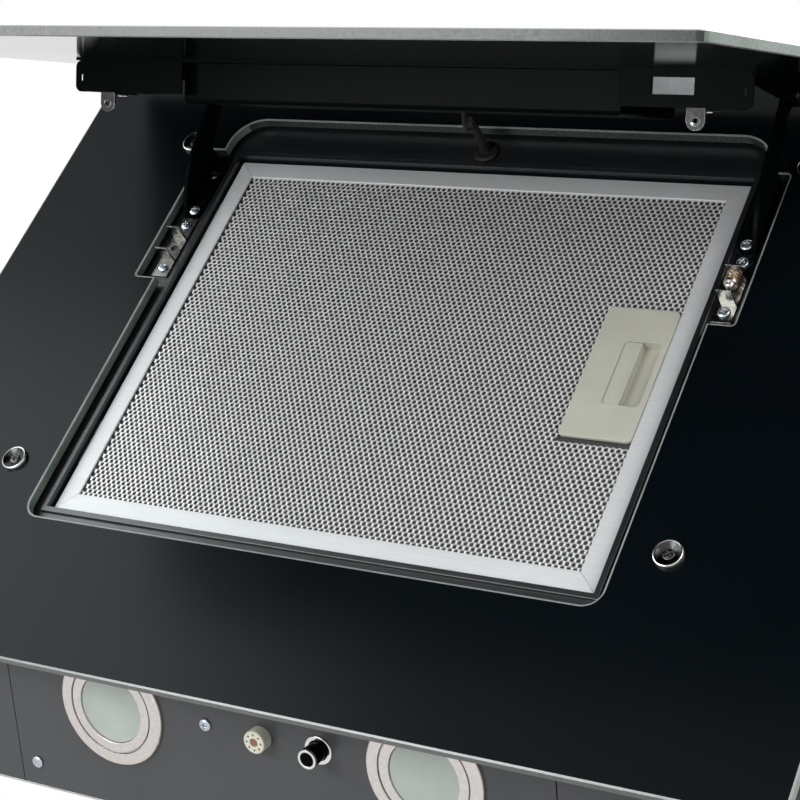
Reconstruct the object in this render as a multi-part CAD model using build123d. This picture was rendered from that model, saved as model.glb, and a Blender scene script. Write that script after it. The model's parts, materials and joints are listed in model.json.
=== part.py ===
from build123d import *
import math
import os

os.makedirs("parts", exist_ok=True)

# A slanted wall mount range hood with its front glass door swung open. Sizes in millimetres.
# The wall is the plane y = 0 and the room lies towards -y. The origin is the middle of the wall fixing holes.
# The slant frame lies on the outer face of the fixed glass: x to the right, u up the glass and n out of it.

# Fixed glass
slant_angle = 35.0
glass_width = 600.0
glass_height = 450.0
glass_thickness = 6.0
glass_corner = 3.0
glass_edge_reach = 100.0
glass_edge_drop = 180.0

# Sheet metal, clearances, and a reach that passes any piece
sheet = 1.2
thin_sheet = 1.0
running_gap = 0.05
seat_gap = 0.3
slide_gap = 0.5
beyond = 900.0

# Grease filter
filter_width = 342.0
filter_height = 267.3
filter_depth = 9.0
filter_low_edge = 101.0
filter_border = 12.0
filter_rear_border = 9.0
filter_wall = 1.0
filter_sink = 2.6
filter_tab_height = 30.0
filter_tab_reach = 4.5
filter_tab_thickness = 1.6
filter_tab_spread = 170.0
mesh_thickness = 1.0
front_mesh_columns = 18
front_mesh_rows = 14
rear_mesh_columns = 8
rear_mesh_rows = 6
mesh_gap_share = 0.62
core_thickness = 1.5

# Cut-out of the fixed glass, measured round the filter
cutout_side_margin = 9.0
cutout_low_margin = 12.0
cutout_top_margin = 26.7
cutout_low_corner = 10.0
cutout_top_corner = 20.0
pocket_depth = 15.0
pocket_height = 104.5
pocket_top_drop = 26.5
pocket_corner = 2.0

# Seal, front panel and filter bay
seal_thickness = 2.0
seal_width = 20.0
seal_margin = 5.0
bay_gap = 1.5
hem_width = 3.5
hem_height = 1.8
bay_seat_width = 8.0

# Cup washers and screws of the glass
glass_screw_side = 26.0
glass_screw_low = 34.0
glass_screw_top = 22.0
cup_radius = 8.0
cup_height = 2.6
glass_hole_radius = 4.0
screw_shank_radius = 2.0
screw_shank_length = 14.0

# Body behind the glass
glass_overhang = 3.0
underside_recess = 35.0
body_height = 330.0

# Wall fixing
wall_hole_radius = 4.0
wall_spacing_x = 400.0
wall_spacing_z = 150.0

# Underside
centre_panel_width = 344.0
seam_gap = 0.6
lamp_spacing = 198.0
lamp_from_wall = 62.0
lamp_trim_radius = 34.0
lamp_trim_inner = 27.0
lamp_trim_height = 2.5
lamp_ring_inner = 20.5
lamp_ring_depth = 5.0
lamp_can_wall = 0.8
lamp_can_height = 26.0
lamp_lens_thickness = 2.0
control_from_wall = 64.0
control_pitch = 36.0
dial_radius = 6.5
dial_height = 7.0
dial_dots = 8
dial_dot_radius = 0.55
dial_shaft_radius = 3.0
button_radius = 5.4
button_height = 12.0
button_travel = 2.5
button_ring_width = 1.4
bezel_width = 2.4
bezel_height = 1.6
switch_size = 24.0
switch_height = 16.0

# Pocket screws
pocket_screw_radius = 3.5
pocket_screw_height = 2.0
pocket_shank_radius = 1.6
pocket_shank_length = 8.0

# Hinge
hinge_above_cutout = 12.0
hinge_standoff = 22.0
door_open_angle = 48.0
hinge_web_x = 187.0
hinge_web_thickness = 2.5
hinge_boss_radius = 7.0
hinge_foot_thickness = 2.0
hinge_foot_width = 11.5
hinge_foot_low = 322.0
hinge_foot_high = 352.0
hinge_pin_radius = 3.0
hinge_pin_head = 5.0
hinge_washer_thickness = 1.4
hinge_arm_thickness = 2.5
hinge_arm_length = 60.0
hinge_arm_flange = 14.5

# Door
door_width = 564.0
door_above_hinge = 18.0
door_below_hinge = 347.0
door_glass_thickness = 5.0
door_glass_corner = 4.0
door_glass_gap = 8.0
rail_half_width = 213.0
rail_low = 117.0
rail_high = 62.0
rail_web_height = 18.3
rail_left_web_end = 135.0
rail_corner = 4.0
rail_flange = 21.0
rail_slot_width = 1.6
rail_slot_height = 3.6
rail_slot_inset = 4.4
rail_slot_drop = 10.0
window_from_end = 31.3
window_width = 23.4
window_height = 8.6
window_drop = 3.3
control_case_width = 277.4
control_case_low = 109.0
control_case_high = 40.0
control_case_height = 23.3
control_case_corner = 3.0

# Eyelet lugs of the door and their catches
lug_x = 185.1
lug_thickness = 1.6
lug_radius = 5.0
lug_forward = 3.1
lug_flange_length = 21.7
lug_eye_drop = 5.0
eyelet_radius = 2.7
eyelet_bore = 1.5
eyelet_length = 2.6
rivet_radius = 1.5
rivet_head_radius = 3.0
rivet_head_height = 1.0
catch_x = 184.0
catch_prong_width = 8.4
catch_base_width = 11.5
catch_low = 270.0
catch_length = 46.5
catch_low_prong = 283.5
catch_high_prong = 300.7
catch_prong_height = 12.0
catch_hole_u = 292.5
catch_hole_radius = 2.4
catch_screw_low = 6.5
catch_screw_high = 40.4
plunger_stand = 6.4
nose_radius = 2.7
nose_length = 3.4
nose_clearance = 0.9
collar_radius = 3.9
collar_thickness = 1.5
tail_radius = 1.4
tail_overhang = 1.0
catch_wire = 0.8
catch_coil_radius = 3.6
catch_turns = 3

# Filter handle and latch
handle_width = 42.0
handle_height = 86.0
handle_centre_u = 234.0
handle_plate = 2.0
handle_corner = 3.0
handle_proud = 1.0
recess_x = 134.0
recess_width = 22.0
recess_height = 42.0
recess_corner = 3.0
recess_depth = 5.4
recess_wall = 3.0
spring_wall = 10.0
handle_lip = 0.9
thumb_right = 144.0
thumb_overlap = 0.6
thumb_thickness = 1.8
thumb_ridge_width = 1.4
thumb_ridge_height = 0.5
stem_left = 138.0
stem_width = 4.0
stem_height = 14.0
latch_width = 16.0
latch_thickness = 1.2
latch_tongue_reach = 4.0
latch_travel = 4.0
latch_coil_radius = 1.6
latch_wire = 0.5
latch_spring_length = 11.0
latch_turns = 5

# Lead from the door to the front panel
lead_radius = 1.3
grommet_u = 382.0
grommet_radius = 8.2
grommet_height = 3.0
grommet_neck = 5.0
boot_low_radius = 3.4
boot_top_radius = 2.3
boot_length = 19.0
boot_grip = 6.0
lead_case_x = 39.0
lead_case_down = 95.0

# Blower
blower_from_wall = 158.0
blower_z = 84.0
scroll_wall = 1.5
scroll_first_radius = 64.0
scroll_growth = 10.0
scroll_width = 120.0
inlet_radius = 44.0
bell_height = 8.0
impeller_radius = 54.0
impeller_width = 100.0
impeller_blades = 26
blade_depth = 10.0
blade_thickness = 1.2
blade_curve = 3.0
hub_radius = 11.0
hub_length = 30.0
shaft_radius = 4.0
shaft_length = 96.0
motor_radius = 40.0
motor_length = 60.0
motor_flange_radius = 56.0
motor_flange_thickness = 2.5

# Outlet collar and its flaps
collar_outer_radius = 74.5
collar_wall = 2.0
duct_collar_height = 36.0
collar_flange_radius = 90.0
flap_ledge_height = 8.0
flap_ledge_width = 4.0
flap_axis_height = 14.0
flap_thickness = 1.4
flap_split = 3.0
flap_pin_radius = 1.5
flap_knuckle_radius = 2.6

# Control box and mains gland
box_depth = 70.0
box_height = 42.0
box_from_side = 12.0
box_from_wall = 12.0
gland_x = 180.0
gland_from_wall = 50.0
gland_radius = 9.0
gland_height = 14.0
gland_bore = 4.0

# Chimney
chimney_width = 240.0
chimney_depth = 226.0
lower_chimney_height = 320.0
upper_chimney_height = 320.0
upper_chimney_rise = 20.0
chimney_flange = 15.0
bracket_height = 25.0
bracket_below_top = 25.0
bracket_hole_radius = 3.0
bracket_hole_spacing = 160.0
bracket_arm_length = 30.0

# Levels worked out from the sizes above
sin_slant = math.sin(math.radians(slant_angle))
cos_slant = math.cos(math.radians(slant_angle))
slant = Plane(
    origin=(0, -glass_edge_reach, -glass_edge_drop),
    x_dir=(1, 0, 0),
    z_dir=(0, -cos_slant, -sin_slant),
).location
glass_back = -glass_thickness
panel_face = glass_back - seal_thickness
panel_back = panel_face - sheet
filter_face = panel_face - filter_sink
filter_back = filter_face - filter_depth
filter_half = filter_width / 2
filter_top_edge = filter_low_edge + filter_height
filter_middle = filter_low_edge + filter_height / 2
cutout_half = filter_half + cutout_side_margin
cutout_low = filter_low_edge - cutout_low_margin
cutout_top = filter_top_edge + cutout_top_margin
bay_half = filter_half + bay_gap
bay_height = filter_height + 2 * bay_gap
underside_z = underside_recess - glass_edge_drop
top_z = underside_z + body_height
body_half = glass_width / 2 - glass_overhang
hinge_u = cutout_top + hinge_above_cutout
open_door = slant * Pos(0, hinge_u, hinge_standoff) * Rot(X=-door_open_angle)


def between(x, y, z):
    """A block that fills the given low and high limits."""
    middle = Pos((x[0] + x[1]) / 2, (y[0] + y[1]) / 2, (z[0] + z[1]) / 2)
    return middle * Box(x[1] - x[0], y[1] - y[0], z[1] - z[0])


def rod_x(x, y, z, radius):
    """A round rod along x between two x limits."""
    return Pos((x[0] + x[1]) / 2, y, z) * Rot(Y=90) * Cylinder(radius, x[1] - x[0])


def rod_y(x, y, z, radius):
    """A round rod along y between two y limits."""
    return Pos(x, (y[0] + y[1]) / 2, z) * Rot(X=90) * Cylinder(radius, y[1] - y[0])


def rod_z(x, y, z, radius):
    """A round rod along z between two z limits."""
    return Pos(x, y, (z[0] + z[1]) / 2) * Cylinder(radius, z[1] - z[0])


def plate_x(outline, x):
    """A sketch drawn in y and z, thickened between two x limits."""
    return Pos(x[0], 0, 0) * extrude(Plane.YZ * outline, x[1] - x[0])


def in_front_of(n):
    """Everything in front of the slanted plane at n, in room coordinates."""
    return slant * between((-beyond, beyond), (-beyond, beyond), (n, n + beyond))


def closed_face(*sides):
    """A face inside lines and arcs that follow one another."""
    return make_face(Wire([edge for side in sides for edge in side.edges()]))


def mirrored(shape):
    """The same piece on the left side."""
    return mirror(shape, about=Plane.YZ)


def save(name, *solids):
    """Writes one node, as one solid or as a group of separate solids."""
    shape = solids[0] if len(solids) == 1 else Compound(children=list(solids))
    export_step(shape, f"parts/{name}.step")


def cross_screw(head_radius, head_height, shank_radius, shank_length):
    """A pan head screw with a cross recess: the head stands above z = 0 and the shank goes down."""
    head = rod_z(0, 0, (0, head_height), head_radius)
    head = fillet(head.edges().group_by(Axis.Z)[-1], head_height * 0.6)
    arm = head_radius * 1.1
    slot = between((-arm / 2, arm / 2), (-0.4, 0.4), (head_height * 0.4, head_height))
    cross = slot + Rot(Z=90) * slot
    return head + rod_z(0, 0, (-shank_length, 0), shank_radius) - cross


def bi_arc(start, start_way, end, end_way):
    """Two arcs that leave start and reach end along the given directions."""
    chord = end - start
    both = start_way + end_way
    turn = 1 - start_way.dot(end_way)
    reach = chord.dot(both)
    step = (-reach + math.sqrt(reach**2 + 2 * turn * chord.dot(chord))) / (2 * turn)
    joint = (start + end + (start_way - end_way) * step) * 0.5
    joint_way = ((end - end_way * step) - (start + start_way * step)).normalized()
    first = TangentArc(start, joint, tangent=start_way)
    return first, TangentArc(joint, end, tangent=joint_way)


def coil(mean_radius, length, turns, wire):
    """A compression spring along z from z = 0 to z = length, one unbroken wire."""
    rise = (length - wire) / turns
    slope = rise / (2 * math.pi)

    def place(angle):
        height = wire / 2 + slope * angle
        return Vector(mean_radius * math.cos(angle), mean_radius * math.sin(angle), height)

    def way(angle):
        along = Vector(-mean_radius * math.sin(angle), mean_radius * math.cos(angle), slope)
        return along.normalized()

    path = []
    for half in range(2 * turns):
        begin = half * math.pi
        finish = begin + math.pi
        path += bi_arc(place(begin), way(begin), place(finish), way(finish))
    section = Plane(origin=place(0), z_dir=way(0)) * Circle(wire / 2)
    steps = [place(2 * math.pi * turns * i / 400) for i in range(401)]
    apart = min(
        (steps[i] - steps[j]).length
        for i in range(0, 401, 4)
        for j in range(i + 200 // turns, 401, 4)
    )
    print("coil gap", round(apart - wire, 2))
    return sweep(section, path=Wire(path))


# Fixed glass with its cut-out, side pockets and four holes
glass_middle = glass_height / 2
cutout_middle = (cutout_low + cutout_top) / 2
opening = Pos(0, cutout_middle) * Rectangle(2 * cutout_half, cutout_top - cutout_low)
opening = fillet(opening.vertices().group_by(Axis.Y)[0], cutout_low_corner)
opening = fillet(opening.vertices().group_by(Axis.Y)[-1], cutout_top_corner)
pocket_top = cutout_top - pocket_top_drop
pocket_low = pocket_top - pocket_height
pocket_half = cutout_half + pocket_depth
pockets = Pos(0, pocket_top - pocket_height / 2) * RectangleRounded(
    2 * pocket_half, pocket_height, pocket_corner
)
glass_screw_x = cutout_half + glass_screw_side
glass_screw_rows = (cutout_low + glass_screw_low, cutout_top - glass_screw_top)
glass_screws = [(x, u) for x in (-glass_screw_x, glass_screw_x) for u in glass_screw_rows]
glass_face = Pos(0, glass_middle) * RectangleRounded(glass_width, glass_height, glass_corner)
glass_face = glass_face - opening - pockets
glass = Pos(0, 0, glass_back) * extrude(glass_face, glass_thickness)
for x, u in glass_screws:
    glass -= rod_z(x, u, (glass_back - 1, 1), glass_hole_radius)
save("fixed_glass", slant * glass)

# Foam seal between the glass and the front panel
seal_inner = pocket_half + seal_margin
seal_outer = seal_inner + seal_width
seal = between(
    (-seal_outer, seal_outer),
    (cutout_low - seal_margin - seal_width, cutout_top + seal_margin + seal_width),
    (panel_face, glass_back),
)
seal -= between(
    (-seal_inner, seal_inner),
    (cutout_low - seal_margin, cutout_top + seal_margin),
    (panel_face - 1, glass_back + 1),
)
for x, u in glass_screws:
    seal -= rod_z(x, u, (panel_face - 1, glass_back + 1), glass_hole_radius)
save("glass_seal", slant * seal)

# Cup washers and the screws in them
cup_outline = Polyline(
    (screw_shank_radius + 0.3, 0),
    (screw_shank_radius + 0.3, 0.5),
    (cup_radius * 0.6, cup_height),
    (cup_radius * 0.72, cup_height),
    (cup_radius, 0.6),
    (cup_radius, 0),
    close=True,
)
cup = revolve(Plane.XZ * make_face(cup_outline), Axis.Z)
head_low = 0.5 + running_gap
head_outline = Polyline(
    (0, head_low),
    (screw_shank_radius + 0.2, head_low),
    (cup_radius * 0.6 - 0.15, cup_height),
    (cup_radius * 0.35, cup_height + 0.7),
    (0, cup_height + 0.9),
    close=True,
)
glass_screw = revolve(Plane.XZ * make_face(head_outline), Axis.Z)
glass_screw += rod_z(0, 0, (head_low - screw_shank_length, head_low), screw_shank_radius)
slot = between((-2.3, 2.3), (-0.45, 0.45), (cup_height - 1.2, cup_height + 1))
glass_screw -= slot + Rot(Z=90) * slot
save("cup_washers", *[slant * Pos(x, u, 0) * cup for x, u in glass_screws])
save("glass_screws", *[slant * Pos(x, u, 0) * glass_screw for x, u in glass_screws])


def up_glass(z, n):
    """Where the level plane z meets the slanted plane n, as a distance up the glass."""
    return (z + glass_edge_drop + n * sin_slant) / cos_slant


# Front panel behind the glass, with a rolled hem round the filter
panel = between(
    (-body_half, body_half),
    (up_glass(underside_z, panel_face), up_glass(top_z, panel_back)),
    (panel_back, panel_face),
)
hem_outer = bay_half + hem_width
hem = between(
    (-hem_outer, hem_outer),
    (filter_middle - bay_height / 2 - hem_width, filter_middle + bay_height / 2 + hem_width),
    (panel_face, panel_face + hem_height),
)
hem = fillet(hem.edges().group_by(Axis.Z)[-1], hem_height * 0.55)
panel += hem
panel -= between(
    (-bay_half, bay_half),
    (filter_middle - bay_height / 2, filter_middle + bay_height / 2),
    (panel_back - 1, 5),
)
for x, u in glass_screws:
    panel -= rod_z(x, u, (panel_back - 1, panel_face + 1), screw_shank_radius + 0.1)
panel -= rod_z(0, grommet_u, (panel_back - 1, panel_face + 1), grommet_neck + 0.1)

# Screws of the hinge feet and of the catch brackets
foot_screw_x = hinge_web_x - hinge_web_thickness - 1.5
foot_face = panel_face + hinge_foot_thickness
catch_face = panel_face + sheet
catch_screw_rows = (catch_low + catch_screw_low, catch_low + catch_screw_high)
pocket_screws = [(foot_screw_x, u, foot_face) for u in (hinge_foot_low, hinge_foot_high)]
pocket_screws += [(catch_x, u, catch_face) for u in catch_screw_rows]
pocket_screw = cross_screw(
    pocket_screw_radius, pocket_screw_height, pocket_shank_radius, pocket_shank_length
)
screw_places = [(side * x, u, n) for side in (-1, 1) for x, u, n in pocket_screws]
save("pocket_screws", *[slant * Pos(x, u, n) * pocket_screw for x, u, n in screw_places])
for x, u, n in screw_places:
    panel -= rod_z(x, u, (panel_back - 1, panel_face + 1), pocket_shank_radius + running_gap)
save("front_panel", slant * panel)

# Filter bay: a tub behind the panel whose rim carries the filter
bay_back = filter_back - seat_gap - sheet
bay_low = filter_middle - bay_height / 2
bay_high = filter_middle + bay_height / 2
bay = between(
    (-bay_half - sheet, bay_half + sheet),
    (bay_low - sheet, bay_high + sheet),
    (bay_back, panel_back),
)
bay -= between(
    (-bay_half, bay_half),
    (bay_low, bay_high),
    (bay_back + sheet, panel_back + 1),
)
bay -= between(
    (-bay_half + bay_seat_width, bay_half - bay_seat_width),
    (bay_low + bay_seat_width, bay_high - bay_seat_width),
    (bay_back - 1, panel_back),
)
tab_n = filter_face - 2.0
tab_rows = (filter_middle - filter_tab_spread / 2, filter_middle + filter_tab_spread / 2)
for u in tab_rows:
    bay -= between(
        (-bay_half - sheet - 1, -bay_half + 1),
        (u - filter_tab_height / 2 - 1, u + filter_tab_height / 2 + 1),
        (tab_n - filter_tab_thickness - 0.5, tab_n + 0.5),
    )
latch_n = filter_face - recess_depth - 0.1
bay -= between(
    (bay_half - 1, bay_half + sheet + 1),
    (handle_centre_u - latch_width / 2 - 1, handle_centre_u + latch_width / 2 + 1),
    (latch_n - latch_thickness - 0.5, latch_n + 0.5),
)
save("filter_bay", slant * bay)

# Filter frame: a mitred channel with locating tabs on its left side
frame = between(
    (-filter_half, filter_half),
    (filter_low_edge, filter_top_edge),
    (filter_back, filter_face),
)
frame -= between(
    (-filter_half + filter_wall, filter_half - filter_wall),
    (filter_low_edge + filter_wall, filter_top_edge - filter_wall),
    (filter_back + filter_wall, filter_face - filter_wall),
)
frame -= between(
    (-filter_half + filter_border, filter_half - filter_border),
    (filter_low_edge + filter_border, filter_top_edge - filter_border),
    (filter_face - filter_depth / 2, filter_face + 1),
)
frame -= between(
    (-filter_half + filter_rear_border, filter_half - filter_rear_border),
    (filter_low_edge + filter_rear_border, filter_top_edge - filter_rear_border),
    (filter_back - 1, filter_face - filter_depth / 2),
)
for u in tab_rows:
    frame += between(
        (-filter_half - filter_tab_reach, -filter_half + filter_wall / 2),
        (u - filter_tab_height / 2, u + filter_tab_height / 2),
        (tab_n - filter_tab_thickness, tab_n),
    )
latch_slot_low = handle_centre_u - latch_width / 2 - 0.2
latch_slot_high = handle_centre_u + latch_width / 2 + 0.2
frame -= between(
    (filter_half - filter_wall - 1, filter_half + 1),
    (latch_slot_low, latch_slot_high),
    (latch_n - latch_thickness - 0.1, latch_n + 0.1),
)
save("filter_frame", slant * frame)

# Handle plate with a finger recess, and the latch whose thumb plate fills the recess's left half
handle_low = handle_centre_u - handle_height / 2
handle_high = handle_centre_u + handle_height / 2
handle_top = filter_face + handle_proud
handle_under = handle_top - handle_plate
recess_floor = filter_face - recess_depth + 1
tub_back = filter_back + filter_wall + 0.2
tub_low = handle_centre_u - recess_height / 2 - recess_wall
tub_high = handle_centre_u + recess_height / 2 + recess_wall
handle_right = filter_half - filter_border
handle_x = handle_right - handle_width
tub_left = recess_x - recess_wall - spring_wall
tub_right = handle_right
handle = Pos(handle_x + handle_width / 2, handle_centre_u, handle_under) * extrude(
    RectangleRounded(handle_width, handle_height, handle_corner), handle_plate
)
handle = fillet(handle.edges().group_by(Axis.Z)[-1], 0.6)
handle += between((tub_left, tub_right), (tub_low, tub_high), (tub_back, handle_under))
recess_half = recess_height / 2
recess_u = (handle_centre_u - recess_half, handle_centre_u + recess_half)
recess_outline = RectangleRounded(recess_width, recess_height, recess_corner)
recess = Pos(recess_x + recess_width / 2, handle_centre_u, recess_floor) * extrude(
    recess_outline, handle_top + 1 - recess_floor
)
thumb_top = handle_top - handle_lip - running_gap
thumb_floor = thumb_top - thumb_thickness
handle -= recess & between((0, beyond), recess_u, (thumb_floor - running_gap, beyond))
handle -= recess & between((thumb_right + seat_gap, beyond), recess_u, (recess_floor, beyond))
thumb_left = recess_x - thumb_overlap
handle -= between(
    (thumb_left - latch_travel - seat_gap, recess_x + recess_corner),
    recess_u,
    (thumb_floor - running_gap, handle_top - handle_lip),
)
latch_back = latch_n - latch_thickness
channel_left = stem_left - latch_travel - 5
handle -= between(
    (channel_left, tub_right + 1),
    (handle_centre_u - latch_width / 2 - 0.1, handle_centre_u + latch_width / 2 + 0.1),
    (latch_back - 0.1, latch_n + 0.1),
)
handle -= between(
    (stem_left - latch_travel - seat_gap, stem_left + stem_width + seat_gap),
    (handle_centre_u - stem_height / 2 - 0.2, handle_centre_u + stem_height / 2 + 0.2),
    (latch_n, thumb_floor),
)
spring_n = (tub_back + handle_under) / 2 - 0.6
spring_right = channel_left + latch_travel + 0.2
spring_left = spring_right - latch_spring_length
chamber = latch_coil_radius + latch_wire / 2 + 0.15
handle -= between(
    (spring_left - 0.1, spring_right + latch_thickness + 0.3),
    (handle_centre_u - chamber, handle_centre_u + chamber),
    (spring_n - chamber, spring_n + chamber),
)
save("filter_handle", slant * handle)

latch_end = bay_half + latch_tongue_reach
latch = between(
    (spring_right + 0.1, latch_end),
    (handle_centre_u - latch_width / 2, handle_centre_u + latch_width / 2),
    (latch_back, latch_n),
)
latch += between(
    (stem_left, stem_left + stem_width),
    (handle_centre_u - stem_height / 2, handle_centre_u + stem_height / 2),
    (latch_back, thumb_top),
)
thumb_u = (recess_u[0] + seat_gap, recess_u[1] - seat_gap)
latch += between((thumb_left, thumb_right), thumb_u, (thumb_floor, thumb_top))
ridge = between(
    (thumb_right - thumb_ridge_width, thumb_right),
    thumb_u,
    (thumb_floor, thumb_top + thumb_ridge_height),
)
latch += fillet(ridge.edges().filter_by(Axis.Y).group_by(Axis.Z)[-1], thumb_ridge_height * 0.8)
latch += between(
    (spring_right + 0.1, spring_right + 0.1 + latch_thickness),
    (handle_centre_u - latch_coil_radius, handle_centre_u + latch_coil_radius),
    (latch_back, spring_n + latch_coil_radius),
)
save("filter_latch", slant * latch)
latch_coil = coil(latch_coil_radius, latch_spring_length, latch_turns, latch_wire)
latch_place = Pos(spring_left, handle_centre_u, spring_n) * Rot(Y=90)
save("latch_spring", slant * latch_place * latch_coil)


def mesh_sheet(n, columns, rows):
    """A filter layer with slanted openings in offset rows, cut out round the handle's tub."""
    reach_x = filter_half - filter_wall - 0.2
    reach_u = filter_height / 2 - filter_wall - 0.2
    field_x = 2 * (filter_half - filter_border)
    field_u = filter_height - 2 * filter_border
    pitch_x = field_x / (columns + 0.5)
    pitch_u = field_u / rows
    hole = make_face(
        Polyline(
            (-pitch_x * mesh_gap_share / 2, 0),
            (0, -pitch_u * mesh_gap_share / 2),
            (pitch_x * mesh_gap_share / 2, 0),
            (0, pitch_u * mesh_gap_share / 2),
            close=True,
        )
    )
    places = []
    for row in range(rows):
        shift = pitch_x * (0.5 if row % 2 else 0.0)
        u = (row + 0.5) * pitch_u - field_u / 2
        for column in range(columns):
            x = (column + 0.5) * pitch_x - field_x / 2 + shift
            beside_x = tub_left - pitch_x < x < tub_right + pitch_x
            beside_u = tub_low - pitch_u < u + filter_middle < tub_high + pitch_u
            if not (beside_x and beside_u):
                places.append((x, u))
    layer = Rectangle(2 * reach_x, 2 * reach_u) - [Pos(x, u) * hole for x, u in places]
    solid = Pos(0, filter_middle, n) * extrude(layer, mesh_thickness)
    return solid - tub_room


tub_room = between(
    (tub_left - 0.3, filter_half),
    (tub_low - 0.3, tub_high + 0.3),
    (filter_back, filter_face),
)
front_mesh_n = handle_under - 0.05 - mesh_thickness
rear_mesh_n = filter_back + filter_wall + 0.05
save("filter_front_mesh", slant * mesh_sheet(front_mesh_n, front_mesh_columns, front_mesh_rows))
save("filter_rear_mesh", slant * mesh_sheet(rear_mesh_n, rear_mesh_columns, rear_mesh_rows))
core = between(
    (-filter_half + filter_wall + 0.2, filter_half - filter_wall - 0.2),
    (filter_low_edge + filter_wall + 0.2, filter_top_edge - filter_wall - 0.2),
    (front_mesh_n - core_thickness, front_mesh_n),
)
save("filter_core", slant * (core - tub_room))

# Body sheets behind the front panel
side = between((body_half - sheet, body_half), (-beyond, 0), (underside_z, top_z))
side -= in_front_of(panel_back)
save("side_panel_right", side)
save("side_panel_left", mirrored(side))
inner_half = body_half - sheet
back = between((-inner_half, inner_half), (-sheet, 0), (underside_z, top_z))
for x in (-wall_spacing_x / 2, wall_spacing_x / 2):
    for z in (-wall_spacing_z / 2, wall_spacing_z / 2):
        back -= rod_y(x, (-sheet - 1, 1), z, wall_hole_radius)
save("back_panel", back)
top = between((-inner_half, inner_half), (-beyond, -sheet), (top_z - sheet, top_z))
top -= in_front_of(panel_back)
scroll_left = -blower_from_wall - scroll_growth / 2
scroll_right = scroll_first_radius + 2 * scroll_growth + scroll_growth / 2 - blower_from_wall
scroll_half = scroll_width / 2
collar_y = (scroll_left + scroll_right) / 2
top -= between(
    (-scroll_half, scroll_half),
    (scroll_left, scroll_right),
    (top_z - sheet - 1, top_z + 1),
)
top -= rod_z(gland_x, -gland_from_wall, (top_z - sheet - 1, top_z + 1), gland_radius * 0.7 + 0.1)
save("top_panel", top)

# Underside: a centre panel between two wings
under = (underside_z, underside_z + sheet)
centre_half = centre_panel_width / 2
centre = between((-centre_half, centre_half), (-beyond, -sheet), under)
centre -= in_front_of(panel_back)
lamp_places = [(-lamp_spacing / 2, -lamp_from_wall), (lamp_spacing / 2, -lamp_from_wall)]
through = (underside_z - 1, underside_z + sheet + 1)
for x, y in lamp_places:
    centre -= rod_z(x, y, through, lamp_trim_inner)
centre -= rod_z(0, -control_from_wall, through, dial_shaft_radius + 0.1)
centre -= rod_z(control_pitch, -control_from_wall, through, button_radius + 0.4)
under_screws = [(-control_pitch, -control_from_wall)]
under_screws += [(x, -control_from_wall / 4) for x in (-centre_half + 12, centre_half - 12)]
for x, y in under_screws:
    centre -= rod_z(x, y, through, pocket_shank_radius + running_gap)
save("underside_panel", centre)
wing = between((centre_half + seam_gap, inner_half), (-beyond, -sheet), under)
wing -= in_front_of(panel_back)
save("underside_wings", wing, mirrored(wing))
under_screw = Rot(X=180) * pocket_screw
save("underside_screws", *[Pos(x, y, underside_z) * under_screw for x, y in under_screws])

# Lamps
can_outer = lamp_trim_inner - 0.1
can_inner = can_outer - lamp_can_wall
ring_outer = can_inner - 0.1
trim_low = underside_z - lamp_trim_height
trim = rod_z(0, 0, (trim_low, underside_z), lamp_trim_radius)
trim = fillet(trim.edges().group_by(Axis.Z)[0], lamp_trim_height * 0.6)
trim -= rod_z(0, 0, (trim_low - 1, underside_z + 1), lamp_trim_inner)
ring_high = underside_z - lamp_trim_height + lamp_ring_depth
ring = rod_z(0, 0, (trim_low, ring_high), ring_outer)
ring -= rod_z(0, 0, (trim_low - 1, ring_high + 1), lamp_ring_inner)
can_top = underside_z + lamp_can_height
can = rod_z(0, 0, (trim_low + 1, can_top), can_outer)
can -= rod_z(0, 0, (trim_low, can_top - lamp_can_wall), can_inner)
lens_low = trim_low + 1.2
lens = rod_z(0, 0, (lens_low, lens_low + lamp_lens_thickness), lamp_ring_inner - 0.1)
save("lamp_trim_rings", *[Pos(x, y, 0) * trim for x, y in lamp_places])
save("lamp_inner_rings", *[Pos(x, y, 0) * ring for x, y in lamp_places])
save("lamp_cans", *[Pos(x, y, 0) * can for x, y in lamp_places])
save("lamp_lenses", *[Pos(x, y, 0) * lens for x, y in lamp_places])

# Dial, push button and the switches above them
control_y = -control_from_wall
dial_low = underside_z - seat_gap - dial_height
dial = rod_z(0, 0, (dial_low, underside_z - seat_gap), dial_radius)
dial = fillet(dial.edges().group_by(Axis.Z)[0], 0.8)
dial -= rod_z(0, 0, (dial_low - 1, dial_low + 0.5), dial_radius * 0.38)
for i in range(dial_dots):
    angle = 2 * math.pi * i / dial_dots
    reach = dial_radius * 0.68
    dot = rod_z(0, 0, (dial_low - 1, dial_low + 0.4), dial_dot_radius)
    dial -= Pos(reach * math.cos(angle), reach * math.sin(angle), 0) * dot
dial_shaft_top = underside_z + sheet + switch_height - 3
dial += rod_z(0, 0, (underside_z - seat_gap, dial_shaft_top), dial_shaft_radius)
save("speed_dial", Pos(0, control_y, 0) * dial)
button_low = underside_z - button_height
button_top = underside_z + sheet + 4
button = rod_z(0, 0, (button_low, button_top), button_radius)
ring_cut = rod_z(0, 0, (button_low - 1, button_low + 1.5), button_radius + 1)
ring_cut -= rod_z(0, 0, (button_low - 1, button_low + 1.5), button_radius - button_ring_width)
save("light_button", Pos(control_pitch, control_y, 0) * (button - ring_cut))
end_ring = rod_z(0, 0, (button_low, button_low + 1.5), button_radius)
end_ring -= rod_z(0, 0, (button_low - 1, button_low + 2), button_radius - button_ring_width)
save("button_end_ring", Pos(control_pitch, control_y, 0) * end_ring)
bezel_inner = button_radius + 0.4
bezel = rod_z(0, 0, (underside_z - bezel_height, underside_z), bezel_inner + bezel_width)
bezel = fillet(bezel.edges().group_by(Axis.Z)[0], bezel_height * 0.5)
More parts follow.
